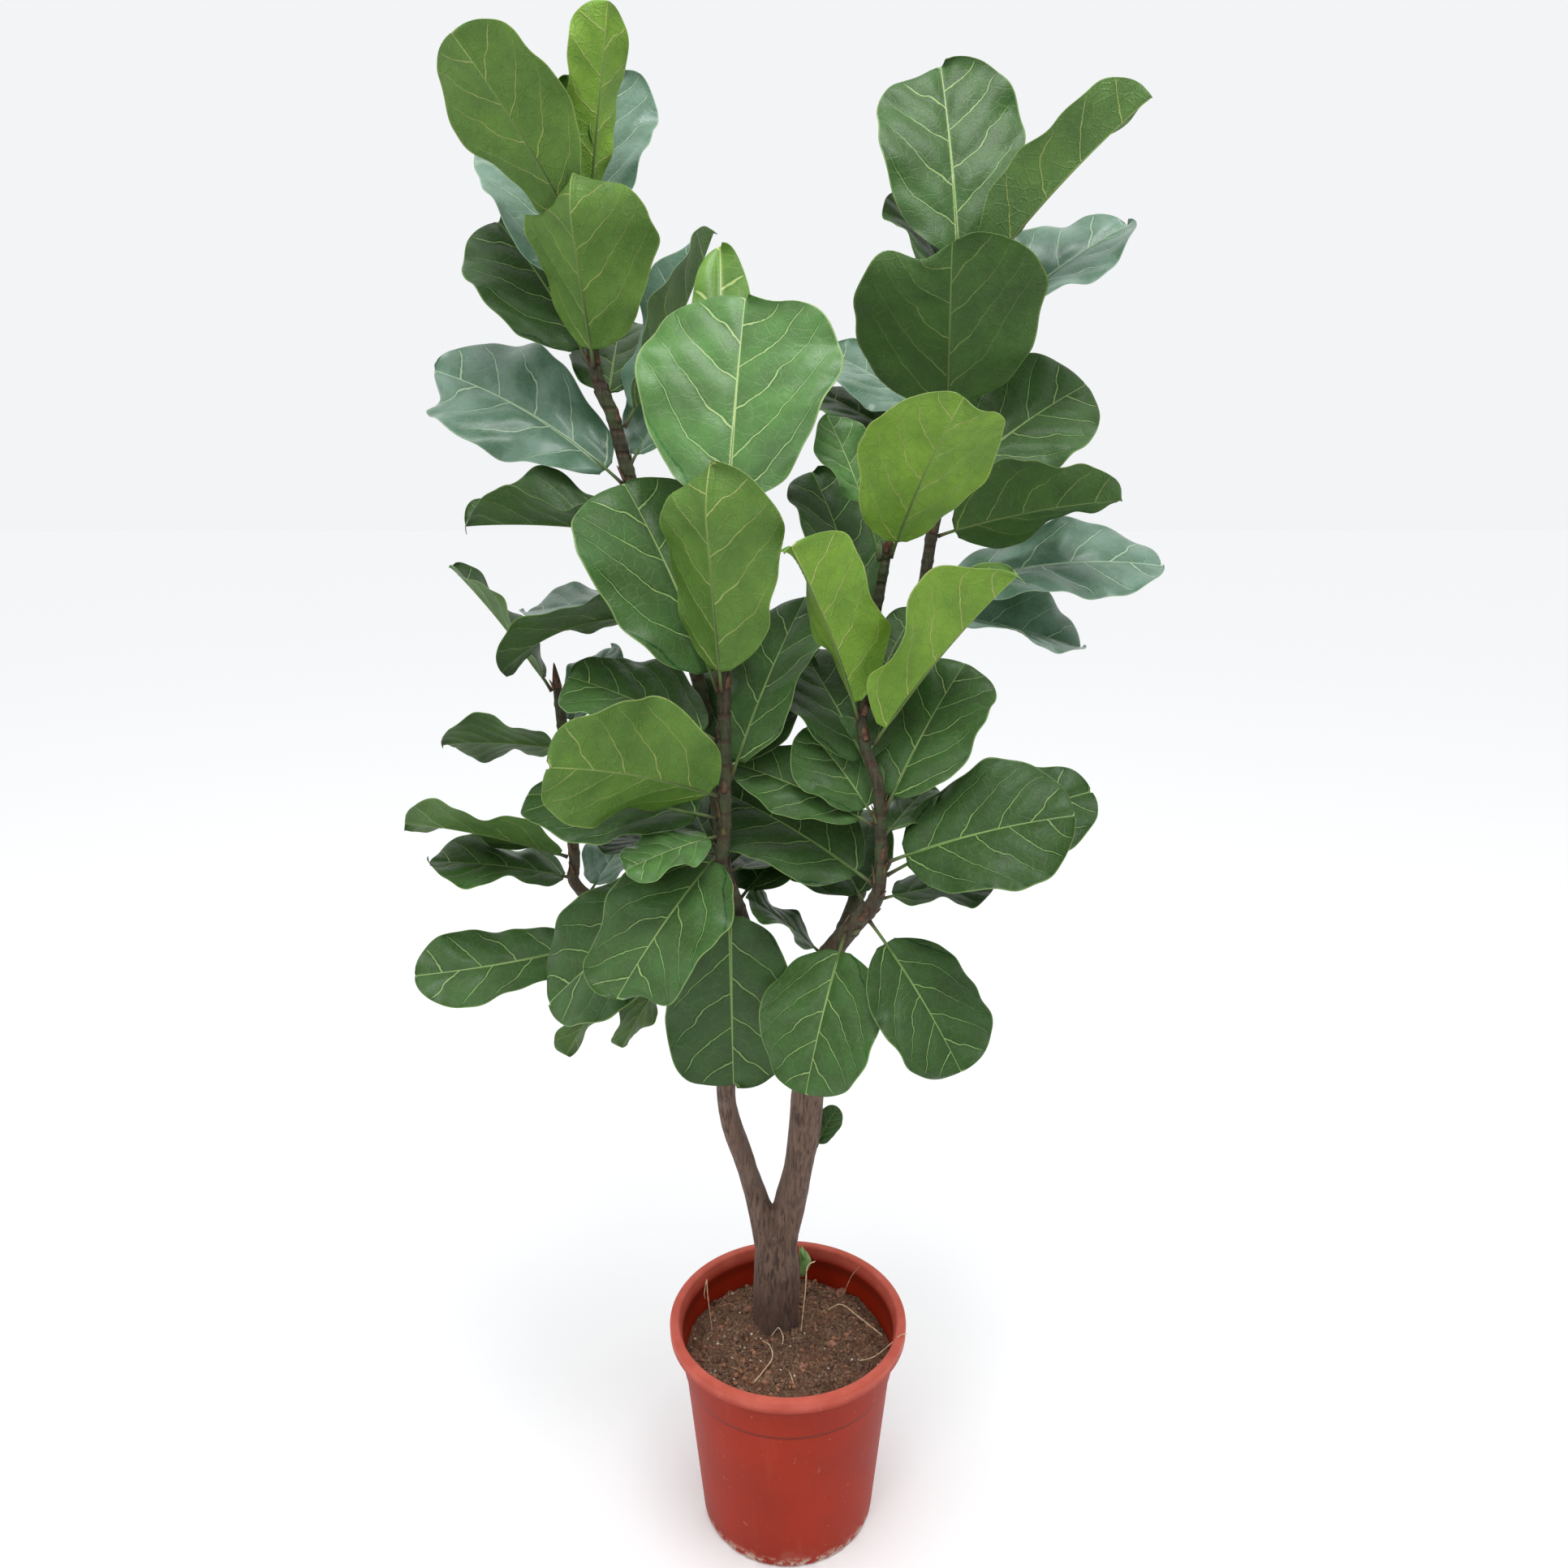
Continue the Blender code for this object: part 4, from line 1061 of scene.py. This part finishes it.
def soil_material():
    nodes = Nodes("coir_soil")
    place = nodes.object_place()
    crumb = nodes.noise(place, 260.0, 6, 0.75, 0.4)
    patch = nodes.noise(place, 26.0, 4, 0.6)
    fibre = nodes.noise(nodes.stretched(place, (1, 0.2, 1), 0.7), 330.0, 4, 0.6, 1.2)
    colour = nodes.mix(nodes.ramp(crumb, 0.34, 0.66), (0.058, 0.028, 0.018),
                       (0.370, 0.200, 0.120))
    colour = nodes.mix(nodes.ramp(patch, 0.45, 0.70, 0.0, 0.6), colour, (0.330, 0.135, 0.065))
    colour = nodes.mix(nodes.ramp(fibre, 0.58, 0.70, 0.0, 0.75), colour, (0.58, 0.40, 0.24))
    pale = nodes.ramp(nodes.noise(place, 170.0, 2), 0.70, 0.76, 0.0, 0.6)
    colour = nodes.mix(pale, colour, (0.50, 0.40, 0.30))
    return nodes.finish(colour, 0.95, nodes.bump(crumb, 0.0060, 1.0))


def plain_material(name, dark, light, scale, rough=0.8):
    nodes = Nodes(name)
    mottle = nodes.noise(nodes.object_place(), scale, 4, 0.6)
    colour = nodes.mix(nodes.ramp(mottle, 0.3, 0.7), dark, light)
    return nodes.finish(colour, rough, nodes.bump(mottle, 0.0008, 0.7))


def soil_piece(name, shapes, material, smooth=True):
    made = add_object(name, mesh_of(name, *join_shapes(shapes), smooth))
    made.data.materials.append(material)
    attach(made, "root")
    return made


def random_place(margin=0.006):
    """A random place on the soil, clear of the trunk and the pot's wall."""
    while True:
        reach = outer_radius(SOIL_EDGE) - WALL - margin
        x, y = RNG.uniform(-reach, reach, 2)
        if hypot(x, y) < reach and hypot(x - TRUNK_X, y - TRUNK_Y) > TRUNK_CLEARANCE:
            return x, y


def crumb_shape(x, y, size, squash):
    """A small irregular lump lying in the soil."""
    shape = bmesh.new()
    bmesh.ops.create_icosphere(shape, subdivisions=2, radius=1)
    turn = RNG.uniform(0, 2 * pi)
    seed = RNG.uniform(0, 50)
    scale = size * np.array([1, RNG.uniform(0.5, 0.9), squash])
    points = []
    for point in shape.verts:
        rough = 1 + 0.45 * noise.noise(point.co * 1.7 + Vector((seed, 0, 0)))
        px, py, pz = np.array(point.co) * rough * scale
        points.append((x + px * cos(turn) - py * sin(turn), y + px * sin(turn) + py * cos(turn),
                       soil_height(x, y) + pz + size * squash * 0.35))
    faces = [tuple(corner.index for corner in face.verts) for face in shape.faces]
    shape.free()
    return np.array(points), faces


def thread(points, radius, sides=6, step=0.003):
    line = smooth_line(points, step)
    widths = radius * (0.8 + 0.2 * np.sin(np.arange(len(line)) * 1.3))
    widths[-1] *= 0.3
    return tube_mesh(line, widths, sides)


def build_soil():
    edge = outer_radius(SOIL_EDGE) - WALL - SOIL_GAP
    bottom = FLOOR + SOIL_GAP
    foot = outer_radius(bottom) - WALL - SOIL_GAP
    angles = np.arange(SOIL_SPOKES) * 2 * pi / SOIL_SPOKES
    points = [(0, 0, bottom)]
    points += [(foot * cos(angle), foot * sin(angle), bottom) for angle in angles]
    for ring in range(SOIL_RINGS):
        radius = edge * (1 - ring / SOIL_RINGS)
        for angle in angles:
            x, y = radius * cos(angle), radius * sin(angle)
            points.append((x, y, soil_height(x, y)))
    points.append((0, 0, soil_height(0, 0)))
    faces = closed_faces(SOIL_RINGS + 1, SOIL_SPOKES)
    soil = soil_piece("coir", [(points, faces)], soil_material())
    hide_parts("soil")

    dark = plain_material("dark_crumb", (0.070, 0.035, 0.022), (0.200, 0.105, 0.065), 300)
    red = plain_material("red_crumb", (0.210, 0.095, 0.050), (0.400, 0.190, 0.105), 300)
    white = plain_material("perlite", (0.55, 0.50, 0.42), (0.80, 0.76, 0.68), 300)
    tan = plain_material("root_thread", (0.55, 0.38, 0.22), (0.80, 0.62, 0.42), 200, 0.7)
    coir = plain_material("coir_fibre", (0.22, 0.110, 0.060), (0.60, 0.38, 0.22), 60)
    soil_piece("dark_crumbs", [crumb_shape(*random_place(), RNG.uniform(0.0018, 0.0052), 0.6)
                               for _ in range(260)], dark)
    soil_piece("red_crumbs", [crumb_shape(*random_place(), RNG.uniform(0.0016, 0.0046), 0.6)
                              for _ in range(260)], red)
    soil_piece("perlite", [crumb_shape(*random_place(), RNG.uniform(0.0007, 0.0021), 0.8)
                           for _ in range(110)], white)
    fibres = []
    for _ in range(1500):
        x, y = random_place(0.012)
        turn = RNG.uniform(0, 2 * pi)
        length = RNG.uniform(0.006, 0.022)
        bend = RNG.uniform(-0.5, 0.5)
        line = []
        for share in (-0.5, -0.17, 0.17, 0.5):
            angle = turn + bend * share * 2
            px, py = x + length * share * cos(angle), y + length * share * sin(angle)
            arch = RNG.uniform(0.0, 0.0026) + 0.003 * (0.25 - share * share)
            line.append((px, py, soil_height(px, py) + arch))
        fibres.append(thread(line, RNG.uniform(0.00015, 0.0004), 4, 0.002))
    soil_piece("coir_fibres", fibres, coir)

    threads = [thread(line, radius) for radius, line in ROOT_THREADS]
    soil_piece("root_threads", threads, tan)
    chip = plain_material("bark_chip", (0.20, 0.075, 0.045), (0.42, 0.20, 0.13), 70)
    soil_piece("bark_chips", [crumb_shape(*given) for given in BARK_CHIPS], chip)
    build_wilted_leaf()


def build_wilted_leaf():
    """A torn green scrap of leaf standing behind the trunk's foot."""
    rows, columns = 16, 11
    points = []
    for row in range(rows):
        share = row / (rows - 1)
        for column in range(columns):
            t = column / (columns - 1) * 2 - 1
            half = 0.008 * sin(pi * min(1, share * 0.85 + 0.12)) + 0.001
            crumple = 0.003 * noise.noise(Vector((t * 2.0, share * 4.0, 3.0)))
            points.append((0.023 + t * half + 0.004 * sin(4 * share),
                           0.090 + 0.010 * t * t + crumple + 0.012 * share,
                           0.312 + 0.040 * share + crumple))
    faces = grid_faces(np.arange(rows * columns).reshape(rows, columns))
    green = plain_material("wilted_leaf", (0.08, 0.20, 0.04), (0.25, 0.45, 0.13), 120, 0.6)
    scrap = soil_piece("wilted_leaf", [(points, [tuple(face) for face in faces])], green)
    thick = scrap.modifiers.new("thickness", "SOLIDIFY")
    thick.thickness = 0.0006


# ---------------------------------------------------------------- camera, floor and light
CAMERA_PLACE = (-0.0057, -1.447, 1.496)
CAMERA_DIP = 14.86  # degrees below level
LENS = 27.02
SENSOR_WIDTH = 36
FLOOR_REACH = 30
FRONT_LIGHT = 0.38
BACK_LIGHT = 0.92
TOP_LIGHT = 1.10
LAMPS = [
    ("top", (0.2, -0.9, 4.2), (0, 0, 0.9), 1.7, 60),
    ("front", (-1.8, -3.2, 2.8), (0, 0, 0.9), 1.6, 20),
]


def build_stage():
    camera_data = bpy.data.cameras.new("camera")
    camera_data.sensor_width = SENSOR_WIDTH
    camera_data.lens = LENS
    camera = bpy.data.objects.new("camera", camera_data)
    camera.location = CAMERA_PLACE
    camera.rotation_euler = (radians(90 - CAMERA_DIP), 0, 0)
    SCENE.collection.objects.link(camera)
    SCENE.camera = camera

    reach = FLOOR_REACH
    corners = [(-reach, -reach, 0), (reach, -reach, 0), (reach, reach, 0), (-reach, reach, 0)]
    floor = add_object("floor", mesh_of("floor", corners, [(0, 1, 2, 3)]))
    nodes = Nodes("floor")
    floor.data.materials.append(nodes.finish((0.98, 0.98, 0.98), 0.9))

    world = bpy.data.worlds.new("studio")
    SCENE.world = world
    world.use_nodes = True
    tree = world.node_tree
    background = tree.nodes["Background"]
    direction = tree.nodes.new("ShaderNodeTexCoord")
    split = tree.nodes.new("ShaderNodeSeparateXYZ")
    tree.links.new(direction.outputs["Generated"], split.inputs[0])
    # Pale behind the plant, dimmer in front of it and brightest overhead.
    turns = []
    for axis, limits in ((1, (-0.5, 0.5, FRONT_LIGHT, BACK_LIGHT)), (2, (0.36, 0.75, 0.0, 1.0))):
        turn = tree.nodes.new("ShaderNodeMapRange")
        turn.interpolation_type = "SMOOTHSTEP"
        for socket, value in zip(turn.inputs[1:5], limits):
            socket.default_value = value
        tree.links.new(split.outputs[axis], turn.inputs[0])
        turns.append(turn.outputs[0])
    joined = tree.nodes.new("ShaderNodeMix")
    tree.links.new(turns[1], joined.inputs[0])
    tree.links.new(turns[0], joined.inputs[2])
    joined.inputs[3].default_value = TOP_LIGHT
    tree.links.new(joined.outputs[0], background.inputs[1])
    background.inputs[0].default_value = (0.97, 0.985, 1.0, 1)
    for name, place, aim, size, power in LAMPS:
        lamp_data = bpy.data.lights.new(name, "AREA")
        lamp_data.shape = "DISK"
        lamp_data.size = size
        lamp_data.energy = power
        lamp_data.color = (0.97, 0.99, 1.0)
        lamp = bpy.data.objects.new(name, lamp_data)
        lamp.location = place
        lamp.rotation_euler = (Vector(aim) - Vector(place)).to_track_quat("-Z", "Y").to_euler()
        SCENE.collection.objects.link(lamp)
    SCENE.view_settings.view_transform = "Standard"


build_stage()
build_leaves()
build_wood()
build_pot()
build_soil()
